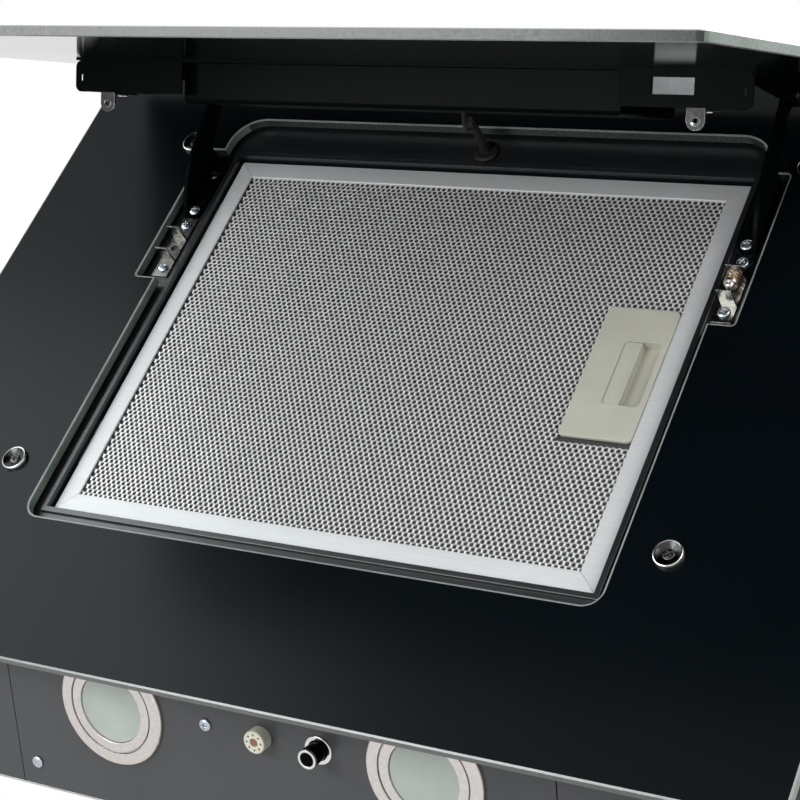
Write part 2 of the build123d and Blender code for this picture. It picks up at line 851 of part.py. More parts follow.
bezel -= rod_z(0, 0, (underside_z - bezel_height - 1, underside_z + 1), bezel_inner)
save("button_bezel", Pos(control_pitch, control_y, 0) * bezel)
switch = between(
    (-switch_size / 2, switch_size / 2),
    (-switch_size / 2, switch_size / 2),
    (underside_z + sheet, underside_z + sheet + switch_height),
)
dial_switch = switch - rod_z(
    0, 0, (underside_z, dial_shaft_top + 0.3), dial_shaft_radius + running_gap
)
button_switch = switch - rod_z(
    0, 0, (underside_z, button_top + button_travel + 0.5), button_radius + running_gap
)
save(
    "control_switches",
    Pos(0, control_y, 0) * dial_switch,
    Pos(control_pitch, control_y, 0) * button_switch,
)

# Hinge brackets, drawn in u and n on the right side
web_outer = hinge_web_x + hinge_web_thickness
web_low = hinge_foot_low - 5
web_crest = hinge_standoff + hinge_boss_radius
web_step = pocket_top - 1.7
web_knee = web_low + (hinge_u - web_low) * 0.34
web_sides = [
    ThreePointArc((web_low, panel_face), (web_low + 14, 6.5), (web_knee, 16)),
    Polyline((web_knee, 16), (hinge_u - hinge_boss_radius, web_crest), (hinge_u, web_crest)),
    ThreePointArc(
        (hinge_u, web_crest),
        (hinge_u + hinge_boss_radius, hinge_standoff),
        (hinge_u, hinge_standoff - hinge_boss_radius),
    ),
    Polyline(
        (hinge_u, hinge_standoff - hinge_boss_radius),
        (hinge_u - 11, hinge_standoff - 5.5),
        (hinge_u - 31, 9),
        (web_step, 4.5),
        (web_step, panel_face),
        (web_low, panel_face),
    ),
]
web = plate_x(closed_face(*web_sides), (hinge_web_x, web_outer))
pin_room = rod_x((0, beyond), hinge_u, hinge_standoff, hinge_pin_radius + running_gap)
foot_top = web_step
foot_left = web_outer - hinge_foot_width
foot = between((foot_left, web_outer), (hinge_foot_low, foot_top), (panel_face, foot_face))
foot += rod_z(foot_screw_x, hinge_foot_low, (panel_face, foot_face), 5)
foot -= between((web_outer, beyond), (0, beyond), (panel_face - 1, foot_face + 1))
hinge_bracket = web + foot
hinge_bracket -= pin_room
for u in (hinge_foot_low, hinge_foot_high):
    shank_room = (panel_face - 1, foot_face + 1)
    hinge_bracket -= rod_z(foot_screw_x, u, shank_room, pocket_shank_radius + running_gap)
save("hinge_bracket_right", slant * hinge_bracket)
save("hinge_bracket_left", slant * mirrored(hinge_bracket))

# Hinge pins, friction washers and clips
washer_out = web_outer + hinge_washer_thickness + 2 * running_gap
arm_in = washer_out
arm_out = arm_in + hinge_arm_thickness
clip_out = arm_out + running_gap + 1.0
pin = rod_x((hinge_web_x - 1.5, clip_out + 1.5), hinge_u, hinge_standoff, hinge_pin_radius)
pin += rod_x((hinge_web_x - 1.5, hinge_web_x), hinge_u, hinge_standoff, hinge_pin_head)
save("hinge_pins", slant * pin, slant * mirrored(pin))
washer = rod_x(
    (web_outer + running_gap, washer_out - running_gap), hinge_u, hinge_standoff, hinge_boss_radius
)
clip = rod_x((arm_out + running_gap, clip_out), hinge_u, hinge_standoff, hinge_pin_head)
hinge_rings = [washer - pin_room, clip - pin_room]
hinge_rings += [mirrored(ring_piece) for ring_piece in hinge_rings]
save("hinge_washers_and_clips", *[slant * ring_piece for ring_piece in hinge_rings])

# Door, drawn closed with y up the door from the hinge axis and z out of it
door_glass_z = (door_glass_gap, door_glass_gap + door_glass_thickness)
door_length = door_above_hinge + door_below_hinge
door_glass = Pos(0, door_above_hinge - door_length / 2, door_glass_gap) * extrude(
    RectangleRounded(door_width, door_length, door_glass_corner), door_glass_thickness
)
save("door_glass", open_door * door_glass)
rail_back = door_glass_gap - sheet
rail_foot = rail_back - rail_web_height
rail = between(
    (-rail_half_width, rail_half_width), (-rail_low, -rail_high), (rail_back, door_glass_gap)
)
case_half = control_case_width / 2
case_floor = rail_back - control_case_height
web_inner = case_half + 1.3
web_height = (rail_foot, rail_back)
rail_end = between((web_inner, rail_half_width), (-rail_low, -rail_low + sheet), web_height)
corner_edges = rail_end.edges().filter_by(Axis.Y).group_by(Axis.X)[-1]
rail_end = fillet(corner_edges, rail_corner)
slot_x = rail_half_width - rail_slot_inset
rail_end -= between(
    (slot_x - rail_slot_width / 2, slot_x + rail_slot_width / 2),
    (-rail_low - 1, -rail_low + sheet + 1),
    (
        rail_back - rail_slot_drop - rail_slot_height / 2,
        rail_back - rail_slot_drop + rail_slot_height / 2,
    ),
)
lug_flange_x = (lug_x - lug_radius, lug_x + lug_radius)
rail_end += between(
    (lug_flange_x[0] - 12, lug_flange_x[1] + 12),
    (-rail_low, -rail_low + rail_flange),
    (rail_foot, rail_foot + sheet),
)
rivet_y = -rail_low + rail_flange / 2
rail_end -= rod_z(
    lug_x, rivet_y, (rail_foot - 1, rail_foot + sheet + 1), rivet_radius + running_gap
)
window_z = (rail_back - window_drop - window_height, rail_back - window_drop)
window_right = rail_half_width - window_from_end
window_x = (window_right - window_width, window_right)
rail += rail_end + mirrored(rail_end)
rail += between((-web_inner, -rail_left_web_end), (-rail_low, -rail_low + sheet), web_height)
rail -= between(window_x, (-rail_low - 1, -rail_low + sheet + 0.5), window_z)
save("door_rail", open_door * rail)
cover_x = (window_x[0] - 2.5, window_x[1] + 2.5)
cover_z = (window_z[0] - 2, window_z[1] + 2)
cover = between(cover_x, (-rail_low + sheet, -rail_low + sheet + thin_sheet), cover_z)
save("rail_window_plate", open_door * cover)
case = between(
    (-case_half, case_half),
    (-control_case_low, -control_case_high),
    (case_floor, rail_back),
)
case = fillet(case.edges().group_by(Axis.Z)[0], control_case_corner)
case -= rod_z(
    lead_case_x, -lead_case_down, (case_floor - 1, case_floor + 4), 3
)
save("door_control_case", open_door * case)

# Eyelet lugs under the rail, and their rivets
lug_top = rail_foot
lug_y = (-rail_low - lug_forward - lug_thickness, -rail_low - lug_forward)
eye_z = lug_top - sheet - lug_eye_drop
lug = between(lug_flange_x, (lug_y[0], lug_y[0] + lug_flange_length), (lug_top - sheet, lug_top))
lug += between(lug_flange_x, lug_y, (eye_z, lug_top))
lug += rod_y(lug_x, lug_y, eye_z, lug_radius)
eyelet_over = (eyelet_length - lug_thickness) / 2
eyelet_y = (lug_y[0] - eyelet_over, lug_y[1] + eyelet_over)
lug += rod_y(lug_x, eyelet_y, eye_z, eyelet_radius)
lug -= rod_y(lug_x, (lug_y[0] - 5, lug_y[1] + 5), eye_z, eyelet_bore)
lug -= rod_z(lug_x, rivet_y, (lug_top - sheet - 1, lug_top + 1), rivet_radius + running_gap)
save("door_lugs", open_door * lug, open_door * mirrored(lug))
rivet_z = (lug_top - sheet, lug_top + sheet)
rivet = rod_z(lug_x, rivet_y, rivet_z, rivet_radius)
rivet += rod_z(lug_x, rivet_y, (rivet_z[0] - rivet_head_height, rivet_z[0]), rivet_head_radius)
rivet += rod_z(lug_x, rivet_y, (rivet_z[1], rivet_z[1] + rivet_head_height), rivet_head_radius)
save("lug_rivets", open_door * rivet, open_door * mirrored(rivet))

# Arms that carry the door on the hinge pins
arm_outline = Circle(hinge_boss_radius) + make_face(
    Polyline(
        (4, door_glass_gap),
        (-hinge_arm_length, door_glass_gap),
        (-hinge_arm_length, 2),
        (-2, 0.3 - hinge_boss_radius),
        (hinge_boss_radius - 0.3, 2),
        close=True,
    )
)
arm = plate_x(arm_outline, (arm_in, arm_out))
arm += between(
    (arm_out, arm_out + hinge_arm_flange), (-hinge_arm_length, -12), (rail_back, door_glass_gap)
)
arm -= rod_x((0, beyond), 0, 0, hinge_pin_radius + running_gap)
save("door_hinge_arms", open_door * arm, open_door * mirrored(arm))

# Catch brackets: a holed base with two prongs, one bracket on each side
prong_half = catch_prong_width / 2
catch = between(
    (catch_x - catch_base_width / 2, catch_x + catch_base_width / 2),
    (catch_low, catch_low + catch_length),
    (panel_face, catch_face),
)
catch -= rod_z(catch_x, catch_hole_u, (panel_face - 1, catch_face + 1), catch_hole_radius)
for u in (catch_low_prong, catch_high_prong):
    catch += between(
        (catch_x - prong_half, catch_x + prong_half),
        (u - sheet / 2, u + sheet / 2),
        (panel_face, panel_face + catch_prong_height),
    )
plunger_n = panel_face + plunger_stand
tail_room = (catch_high_prong - sheet, catch_high_prong + sheet)
catch -= rod_y(catch_x, tail_room, plunger_n, tail_radius + running_gap)
for u in catch_screw_rows:
    shank_room = (panel_face - 1, catch_face + 1)
    catch -= rod_z(catch_x, u, shank_room, pocket_shank_radius + running_gap)
save("catch_bracket_right", slant * catch)
save("catch_bracket_left", slant * mirrored(catch))

# Spring plunger of the right catch: a round nose, a collar under the spring and a tail in the prong
lug_closed_u = hinge_u + eyelet_y[1]
nose_tip = lug_closed_u + nose_clearance
collar_low = nose_tip + nose_length
collar_high = collar_low + collar_thickness
plunger = rod_y(catch_x, (nose_tip + nose_radius, collar_low), plunger_n, nose_radius)
plunger += Pos(catch_x, nose_tip + nose_radius, plunger_n) * Sphere(nose_radius)
plunger += rod_y(catch_x, (collar_low, collar_high), plunger_n, collar_radius)
tail_end = catch_high_prong + sheet / 2 + tail_overhang
plunger += rod_y(catch_x, (collar_high, tail_end), plunger_n, tail_radius)
save("catch_plunger", slant * plunger)
spring_length = catch_high_prong - sheet / 2 - collar_high - 2 * running_gap
catch_coil = coil(catch_coil_radius, spring_length, catch_turns, catch_wire)
catch_spring_place = Pos(catch_x, collar_high + running_gap, plunger_n) * Rot(X=-90)
save("catch_spring", slant * catch_spring_place * catch_coil)

# Grommet and the lead that runs to it from the door's control case
grommet = rod_z(0, grommet_u, (panel_face, panel_face + grommet_height), grommet_radius)
grommet = fillet(grommet.edges().group_by(Axis.Z)[-1], grommet_height * 0.7)
grommet += rod_z(0, grommet_u, (panel_back - 3, panel_face), grommet_neck)
grommet += rod_z(0, grommet_u, (panel_back - 3, panel_back), grommet_neck + 2)
boot_low = panel_face + grommet_height
boot_top = boot_low + boot_length
grommet += Pos(0, grommet_u, boot_low + boot_length / 2) * Cone(
    boot_low_radius, boot_top_radius, boot_length
)
grommet -= rod_z(
    0, grommet_u, (boot_top - boot_grip, boot_top + 1), lead_radius + running_gap
)
save("lead_grommet", slant * grommet)
open_turn = math.radians(door_open_angle)
case_way = Vector(0, math.sin(open_turn), math.cos(open_turn))
door_way = Vector(0, -math.cos(open_turn), math.sin(open_turn))
hinge_point = Vector(lead_case_x, hinge_u, hinge_standoff)
case_face = hinge_point + door_way * lead_case_down + case_way * case_floor
boot_mouth = Vector(0, grommet_u, boot_top)
lead_start = case_face + case_way * 1.5
lead_way = ((boot_mouth - case_face).normalized() - case_way).normalized()
lead_points = [
    lead_start,
    lead_start + lead_way * 16,
    lead_start * 0.4 + boot_mouth * 0.6 + lead_way * 7,
    boot_mouth + Vector(0, 0, 12),
    boot_mouth - Vector(0, 0, boot_grip - 0.1),
]


def corner_radii(points):
    """Fillet radii of a lead: 0.45 of the shorter run over the tangent of half the turn."""
    radii = []
    for before, here, after in zip(points, points[1:], points[2:]):
        first = Vector(here) - Vector(before)
        second = Vector(after) - Vector(here)
        half_turn = math.radians(first.get_angle(second)) / 2
        radii.append(0.45 * min(first.length, second.length) / math.tan(half_turn))
    return radii


lead_radii = corner_radii(lead_points)
print("lead radii", [round(radius) for radius in lead_radii])
lead_path = FilletPolyline(*lead_points, radius=lead_radii)
lead_section = Plane(origin=lead_path @ 0, z_dir=lead_path % 0) * Circle(lead_radius)
lead = sweep(lead_section, path=lead_path)
print("lead volume share", lead.volume / (math.pi * lead_radius**2 * lead_path.length))
save("door_lead", slant * lead)

# Blower housing: quarter arcs of growing radius round the impeller, then a straight duct up
step = scroll_growth / 2
r1 = scroll_first_radius
r2 = r1 + scroll_growth
r3 = r2 + scroll_growth
centre_y = -blower_from_wall


def quarter(middle, radius, start_angle):
    """A quarter arc about a middle point, drawn in y and z."""
    points = []
    for turn in (0, 45, 90):
        angle = math.radians(start_angle + turn)
        y = middle[0] + radius * math.cos(angle)
        points.append((y, middle[1] + radius * math.sin(angle)))
    return ThreePointArc(*points)


def scroll_face(duct_top):
    """The inside of the blower housing seen along the shaft."""
    tongue = (centre_y - step, blower_z - step + r1)
    exit_point = (centre_y + step + r3, blower_z + step)
    sides = [
        quarter((centre_y - step, blower_z - step), r1, 90),
        quarter((centre_y + step, blower_z - step), r2, 180),
        quarter((centre_y + step, blower_z + step), r3, 270),
        Polyline(exit_point, (exit_point[0], duct_top), (tongue[0], duct_top), tongue),
    ]
    return closed_face(*sides)


duct_top = top_z - sheet
outer_face = offset(scroll_face(duct_top - scroll_wall), amount=scroll_wall, kind=Kind.INTERSECTION)
housing = plate_x(outer_face, (-scroll_half - scroll_wall, scroll_half + scroll_wall))
housing -= plate_x(scroll_face(duct_top + 5), (-scroll_half, scroll_half))
bell_x = (scroll_half + scroll_wall, scroll_half + scroll_wall + bell_height)
bell = rod_x(bell_x, centre_y, blower_z, inlet_radius + bell_height)
bell = fillet(bell.edges().group_by(Axis.X)[-1], bell_height * 0.6)
housing += bell
housing -= rod_x((scroll_half - 1, bell_x[1] + 1), centre_y, blower_z, inlet_radius)
motor_hole = hub_radius + 6
housing -= rod_x((-scroll_half - 5, -scroll_half + 1), centre_y, blower_z, motor_hole)
save("blower_housing", housing)

# Impeller: back plate, hub, end ring and forward curved blades
impeller_x = (-impeller_width / 2, impeller_width / 2)
plate_end = impeller_x[0] + 1.5
wheel = rod_x((impeller_x[0], plate_end), 0, 0, impeller_radius)
wheel += rod_x((impeller_x[0], impeller_x[0] + hub_length), 0, 0, hub_radius)
end_plate = rod_x((impeller_x[1] - 2, impeller_x[1]), 0, 0, impeller_radius)
end_plate -= rod_x((0, beyond), 0, 0, impeller_radius - blade_depth)
wheel += end_plate
blade_root = impeller_radius - blade_depth
blade_line = ThreePointArc(
    (blade_root + 0.3, 0),
    (blade_root + blade_depth / 2, blade_curve / 2 - 1),
    (impeller_radius - 0.3, blade_curve),
)
blade_face = closed_face(
    blade_line,
    Line(blade_line @ 1, blade_line @ 1 + Vector(0, blade_thickness)),
    Pos(0, blade_thickness) * blade_line,
    Line(blade_line @ 0 + Vector(0, blade_thickness), blade_line @ 0),
)
blade = plate_x(blade_face, (plate_end - 0.5, impeller_x[1] - 1.5))
blades = [Rot(X=360 * i / impeller_blades) * blade for i in range(impeller_blades)]
wheel = wheel + blades
wheel -= rod_x((-beyond, beyond), 0, 0, shaft_radius)
save("impeller", Pos(0, centre_y, blower_z) * wheel)

# Motor on the closed side of the housing, and its shaft
flange_x = -scroll_half - scroll_wall
motor_face = flange_x - motor_flange_thickness
motor = rod_x((motor_face, flange_x), 0, 0, motor_flange_radius)
motor -= rod_x((flange_x - 1, flange_x + 1), 0, 0, motor_hole)
for turn in (0, 120, 240):
    window = rod_x((motor_face - 1, flange_x + 1), (motor_radius + motor_flange_radius) / 2, 0, 4)
    motor -= Rot(X=turn) * window
motor_body = rod_x((motor_face - motor_length, motor_face), 0, 0, motor_radius)
motor_body = fillet(motor_body.edges().group_by(Axis.X)[0], 5)
motor += motor_body
shaft_end = impeller_x[0] + hub_length
shaft_start = shaft_end - shaft_length
motor -= rod_x((shaft_start - seat_gap, flange_x + 1), 0, 0, shaft_radius + running_gap)
save("blower_motor", Pos(0, centre_y, blower_z) * motor)
save("motor_shaft", Pos(0, centre_y, blower_z) * rod_x((shaft_start, shaft_end), 0, 0, shaft_radius))

# Outlet collar with its ledge, and two half round flaps on moulded pins
collar_inner = collar_outer_radius - collar_wall
collar_base = (top_z, top_z + collar_wall)
collar = rod_z(0, 0, collar_base, collar_flange_radius)
collar += rod_z(0, 0, (top_z, top_z + duct_collar_height), collar_outer_radius)
collar -= rod_z(0, 0, (top_z - 1, top_z + duct_collar_height + 1), collar_inner)
ledge_z = (top_z + flap_ledge_height, top_z + flap_ledge_height + 2)
ledge = rod_z(0, 0, ledge_z, collar_inner + 0.5)
ledge -= rod_z(0, 0, (ledge_z[0] - 1, ledge_z[1] + 1), collar_inner - flap_ledge_width)
collar += ledge
axis_z = top_z + flap_axis_height
flap_low = ledge_z[1] + seat_gap
flap_radius = collar_inner - 1.0
flap = rod_z(0, 0, (flap_low, flap_low + flap_thickness), flap_radius)
flap &= between((-beyond, beyond), (flap_split, beyond), (flap_low - 1, flap_low + 5))
knuckle_half = collar_inner - 8
flap += rod_x((-knuckle_half, knuckle_half), flap_split, axis_z, flap_knuckle_radius)
flap += between(
    (-knuckle_half, knuckle_half),
    (flap_split, flap_split + flap_thickness),
    (flap_low, axis_z),
)
flap += rod_x(
    (-collar_inner - collar_wall / 2, collar_inner + collar_wall / 2),
    flap_split,
    axis_z,
    flap_pin_radius,
)
for y in (-flap_split, flap_split):
    pin_hole = rod_x((-beyond, beyond), y, axis_z, flap_pin_radius + running_gap)
    collar -= pin_hole
flap_place = Pos(0, collar_y, 0)
save("outlet_collar", flap_place * collar)
save("outlet_flap_rear", flap_place * flap)
save("outlet_flap_front", flap_place * mirror(flap, about=Plane.XZ))

# Control box on the right wing and the mains gland on the top
box_x = (centre_half + seam_gap + box_from_side, inner_half - box_from_side)
box_y = (-box_from_wall - box_depth, -box_from_wall)
control_box = between(box_x, box_y, (underside_z + sheet, underside_z + sheet + box_height))
control_box = fillet(control_box.edges().group_by(Axis.Z)[-1], 4)
save("control_box", control_box)
gland = Pos(gland_x, -gland_from_wall, top_z) * extrude(
    RegularPolygon(gland_radius, 6), gland_height * 0.4
)
gland += rod_z(gland_x, -gland_from_wall, (top_z, top_z + gland_height), gland_radius * 0.75)
gland_foot = (top_z - sheet - 6, top_z)
gland += rod_z(gland_x, -gland_from_wall, gland_foot, gland_radius * 0.7)
gland -= rod_z(gland_x, -gland_from_wall, (top_z - 20, top_z + gland_height + 1), gland_bore)
save("mains_gland", gland)


def cover_shell(half, depth, wall, back_y, z):
    """A chimney cover: a front and two sides, with flanges turned in at the wall."""
    shell = between((-half, half), (-depth, back_y), z)
    shell -= between((-half + wall, half - wall), (-depth + wall, back_y - wall), (z[0] - 1, z[1] + 1))
    open_half = half - wall - chimney_flange
    return shell - between((-open_half, open_half), (back_y - wall - 1, back_y + 1), (z[0] - 1, z[1] + 1))


# Chimney covers and the wall bracket of the upper one
chimney_half = chimney_width / 2
lower_z = (top_z, top_z + lower_chimney_height)
save("lower_chimney", cover_shell(chimney_half, chimney_depth, sheet, 0, lower_z))
nest = sheet + slide_gap
upper_top = lower_z[1] + upper_chimney_rise
upper_z = (upper_top - upper_chimney_height, upper_top)
upper_half = chimney_half - nest
save("upper_chimney", cover_shell(upper_half, chimney_depth - nest, thin_sheet, -nest, upper_z))
bracket_top = upper_top - bracket_below_top
bracket_z = (bracket_top - bracket_height, bracket_top)
bracket_half = upper_half - thin_sheet - chimney_flange - 3
tab_x = upper_half - thin_sheet - slide_gap
wall_bracket = between((-bracket_half, bracket_half), (-sheet, 0), bracket_z)
bracket_arm = between(
    (bracket_half - sheet, bracket_half), (-bracket_arm_length, 0), bracket_z
)
bracket_arm += between(
    (bracket_half - sheet, tab_x),
    (-bracket_arm_length, -bracket_arm_length + sheet),
    bracket_z,
)
bracket_arm += between(
    (tab_x - sheet, tab_x), (-2 * bracket_arm_length, -bracket_arm_length + sheet), bracket_z
)
wall_bracket += bracket_arm + mirrored(bracket_arm)
for x in (-bracket_hole_spacing / 2, bracket_hole_spacing / 2):
    hole_z = (bracket_z[0] + bracket_z[1]) / 2
    wall_bracket -= rod_y(x, (-sheet - 1, 1), hole_z, bracket_hole_radius)
save("chimney_bracket", wall_bracket)
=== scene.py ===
import json
import math

import bmesh
import bpy
from mathutils import Matrix, Vector

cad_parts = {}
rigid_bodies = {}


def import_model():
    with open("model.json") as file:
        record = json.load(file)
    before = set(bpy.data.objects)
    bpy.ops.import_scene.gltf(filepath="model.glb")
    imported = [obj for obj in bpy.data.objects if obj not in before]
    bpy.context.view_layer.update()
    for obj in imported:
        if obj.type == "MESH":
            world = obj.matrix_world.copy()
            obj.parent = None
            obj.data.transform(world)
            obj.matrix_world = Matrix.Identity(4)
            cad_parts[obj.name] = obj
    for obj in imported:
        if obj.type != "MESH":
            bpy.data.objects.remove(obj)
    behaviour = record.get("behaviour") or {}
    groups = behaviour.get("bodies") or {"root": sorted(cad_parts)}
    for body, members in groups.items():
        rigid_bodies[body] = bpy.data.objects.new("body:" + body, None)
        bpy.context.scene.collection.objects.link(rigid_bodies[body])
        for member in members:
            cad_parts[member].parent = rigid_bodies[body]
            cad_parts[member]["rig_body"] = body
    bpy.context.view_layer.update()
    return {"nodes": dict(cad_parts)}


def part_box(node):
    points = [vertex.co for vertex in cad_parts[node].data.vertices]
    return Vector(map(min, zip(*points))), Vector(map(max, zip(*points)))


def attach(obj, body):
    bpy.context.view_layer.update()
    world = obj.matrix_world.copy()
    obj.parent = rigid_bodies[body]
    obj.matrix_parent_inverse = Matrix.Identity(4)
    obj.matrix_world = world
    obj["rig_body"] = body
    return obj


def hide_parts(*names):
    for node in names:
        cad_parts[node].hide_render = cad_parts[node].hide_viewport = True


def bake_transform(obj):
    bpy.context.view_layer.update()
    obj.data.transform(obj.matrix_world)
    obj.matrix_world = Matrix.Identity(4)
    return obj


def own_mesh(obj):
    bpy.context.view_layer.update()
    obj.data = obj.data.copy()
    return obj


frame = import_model()
cadNodes = frame["nodes"]

# The slant frame lies on the outer face of the fixed glass, in mm:
# x right, u up the glass, n out of it
slantAngle = math.radians(35)
doorAngle = math.radians(48)
glassUp = Vector((0, -math.sin(slantAngle), math.cos(slantAngle)))
glassOut = Vector((0, -math.cos(slantAngle), -math.sin(slantAngle)))
slantOrigin = Vector((0, -0.100, -0.180))
slantFrame = Matrix.Translation(slantOrigin) @ Matrix(
    ((1, 0, 0, 0), (0, glassUp.y, glassOut.y, 0), (0, glassUp.z, glassOut.z, 0), (0, 0, 0, 1))
) @ Matrix.Scale(0.001, 4)
hingeUp, hingeOut = 407, 22  # the door's hinge line in that frame
hingeLine = Matrix.Translation((0, hingeUp, hingeOut))
doorFrame = slantFrame @ hingeLine @ Matrix.Rotation(-doorAngle, 4, "X")


def slantPoint(x, u, n):
    return slantFrame @ Vector((x, u, n))


# Materials
class Finish:
    # A small helper round one node tree, so each material reads as a short recipe

    def __init__(self, name, color, roughness, metallic=0.0, specular=0.5):
        self.material = bpy.data.materials.new(name)
        self.material.use_nodes = True
        self.tree = self.material.node_tree
        self.shader = self.tree.nodes["Principled BSDF"]
        self.shader.inputs["Base Color"].default_value = (*color, 1)
        self.shader.inputs["Roughness"].default_value = roughness
        self.shader.inputs["Metallic"].default_value = metallic
        self.shader.inputs["Specular IOR Level"].default_value = specular
        self.color = color
        self.roughness = roughness
        self.coordinates = self.add("ShaderNodeTexCoord").outputs["Object"]
        self.height = None

    def add(self, kind, **settings):
        node = self.tree.nodes.new(kind)
        for key, value in settings.items():
            setattr(node, key, value)
        return node

    def join(self, source, target):
        self.tree.links.new(source, target)

    def stretched(self, scale, turn=(0, 0, 0)):
        mapping = self.add("ShaderNodeMapping")
        mapping.inputs["Scale"].default_value = scale
        mapping.inputs["Rotation"].default_value = turn
        self.join(self.coordinates, mapping.inputs["Vector"])
        return mapping.outputs["Vector"]

    def noise(self, scale, detail=3.0, vector=None, roughness=0.55):
        texture = self.add("ShaderNodeTexNoise")
        texture.inputs["Scale"].default_value = scale
        texture.inputs["Detail"].default_value = detail
        texture.inputs["Roughness"].default_value = roughness
        self.join(vector or self.coordinates, texture.inputs["Vector"])
        return texture.outputs["Fac"]

    def voronoi(self, scale, feature="F1"):
        texture = self.add("ShaderNodeTexVoronoi", feature=feature)
        texture.inputs["Scale"].default_value = scale
        self.join(self.coordinates, texture.inputs["Vector"])
        return texture.outputs["Distance"], texture.outputs["Color"]

    def ramped(self, value, low, high, fromLow=0.3, fromHigh=0.7):
        spread = self.add("ShaderNodeMapRange")
        spread.inputs["From Min"].default_value = fromLow
        spread.inputs["From Max"].default_value = fromHigh
        spread.inputs["To Min"].default_value = low
        spread.inputs["To Max"].default_value = high
        self.join(value, spread.inputs["Value"])
        return spread.outputs["Result"]

    def varyColor(self, value, light, dark):
        mix = self.add("ShaderNodeMix", data_type="RGBA")
        mix.inputs["A"].default_value = (*dark, 1)
        mix.inputs["B"].default_value = (*light, 1)
        self.join(value, mix.inputs["Factor"])
        self.join(mix.outputs["Result"], self.shader.inputs["Base Color"])
        return self

    def varyRoughness(self, value, low, high, fromLow=0.3, fromHigh=0.7):
        self.join(self.ramped(value, low, high, fromLow, fromHigh), self.shader.inputs["Roughness"])
        return self

    def bump(self, value, strength, distance=0.0002):
        bump = self.add("ShaderNodeBump")
        bump.inputs["Strength"].default_value = strength
        bump.inputs["Distance"].default_value = distance
        self.join(value, bump.inputs["Height"])
        if self.height:
            self.join(self.height, bump.inputs["Normal"])
        self.height = bump.outputs["Normal"]
        self.join(self.height, self.shader.inputs["Normal"])
        return self


def shadingPaintedMetal(name, dark, bright, roughness, metallic=0.6):
    # The piece's own shading attribute paints shade and highlight into the colour: at 0 the dark
    # painted-shade colour of its sunken places, at 1 the bright painted-highlight colour of its
    # raised ones
    finish = Finish(name, bright, roughness, metallic=metallic)
    paintedShading = finish.add("ShaderNodeAttribute", attribute_name="paintedShading").outputs["Fac"]
    shadingWithSpeckle = finish.add("ShaderNodeMath", operation="MULTIPLY")
    finish.join(paintedShading, shadingWithSpeckle.inputs[0])
    finish.join(finish.ramped(finish.noise(260, 2), 0.8, 1.0), shadingWithSpeckle.inputs[1])
    finish.varyColor(shadingWithSpeckle.outputs[0], bright, dark)
    finish.varyRoughness(finish.noise(500, 2), roughness * 0.85, roughness * 1.2)
    finish.bump(finish.noise(2500, 2), 0.08, 0.00005)
    return finish.material


def shade(color, factor):
    return tuple(channel * factor for channel in color)


def paintedSteel(name, color, roughness, grain=900, strength=0.12, specular=0.5):
    finish = Finish(name, color, roughness, specular=specular)
    peel = finish.noise(grain, 2)
    cloud = finish.noise(14, 3)
    finish.varyColor(finish.ramped(cloud, 0, 1), shade(color, 1.12), shade(color, 0.9))
    finish.varyRoughness(cloud, roughness * 0.85, roughness * 1.15)
    finish.bump(peel, strength)
    return finish.material


def brushedMetal(name, color, roughness, stretch, scale=160, strength=0.18, turn=(0, 0, 0)):
    finish = Finish(name, color, roughness, metallic=1.0)
    lines = finish.noise(scale, 4, finish.stretched(stretch, turn), 0.7)
    cloud = finish.noise(18, 3)
    finish.varyColor(finish.ramped(lines, 0, 1), color, shade(color, 0.82))
    finish.varyRoughness(cloud, roughness * 0.85, roughness * 1.2)
    finish.bump(lines, strength, 0.0001)
    return finish.material


def platedMetal(name, color, tint, roughness, spangle=0, metallic=1.0):
    finish = Finish(name, color, roughness, metallic=metallic)
    cloud = finish.noise(90, 3)
    finish.varyColor(finish.ramped(cloud, 0, 1), color, tint)
    finish.varyRoughness(finish.noise(420, 3), roughness * 0.8, roughness * 1.2)
    finish.bump(finish.noise(1600, 2), 0.05, 0.00002)
    if spangle:
        distance, cells = finish.voronoi(spangle)
        finish.varyColor(finish.ramped(cells, 0, 1, 0, 1), color, tint)
        finish.bump(distance, 0.08, 0.0002)
    return finish.material


def mouldedPlastic(name, color, roughness, grain=1400, strength=0.15, specular=0.5):
    finish = Finish(name, color, roughness, specular=specular)
    skin = finish.noise(grain, 3)
    cloud = finish.noise(30, 2)
    finish.varyColor(finish.ramped(cloud, 0, 1), shade(color, 1.05), shade(color, 0.94))
    finish.varyRoughness(skin, roughness * 0.9, roughness * 1.1)
    finish.bump(skin, strength)
    return finish.material


def darkGlass(name, color, roughness, specular):
    finish = Finish(name, color, roughness, specular=specular)
    smear = finish.noise(9, 4, finish.stretched((1, 2.2, 1)))
    finish.varyRoughness(smear, roughness * 0.92, roughness * 1.08)
    finish.varyColor(finish.ramped(smear, 0, 1), shade(color, 1.15), shade(color, 0.9))
    finish.bump(finish.noise(3.0, 1), 0.02, 0.001)
    return finish.material


def glassEdge(name, color):
    finish = Finish(name, color, 0.22)
    ground = finish.noise(700, 3)
    finish.varyColor(finish.ramped(finish.noise(60, 3), 0, 1), color, shade(color, 0.72))
    finish.varyRoughness(ground, 0.16, 0.32)
    finish.bump(ground, 0.2, 0.0001)
    return finish.material


def frostedLens(name, color):
    finish = Finish(name, color, 0.34)
    finish.shader.inputs["Subsurface Weight"].default_value = 0.15
    finish.shader.inputs["Subsurface Scale"].default_value = 0.002
    distance, cells = finish.voronoi(900)
    finish.varyColor(finish.ramped(finish.noise(40, 3), 0, 1), color, shade(color, 0.86))
    finish.bump(distance, 0.25, 0.0002)
    return finish.material


def softRubber(name, color, roughness=0.6):
    finish = Finish(name, color, roughness, specular=0.35)
    finish.varyRoughness(finish.noise(300, 3), roughness * 0.85, roughness * 1.15)
    finish.varyColor(finish.ramped(finish.noise(80, 3), 0, 1), shade(color, 1.3), shade(color, 0.8))
    finish.bump(finish.noise(2200, 3), 0.2, 0.0001)
    return finish.material


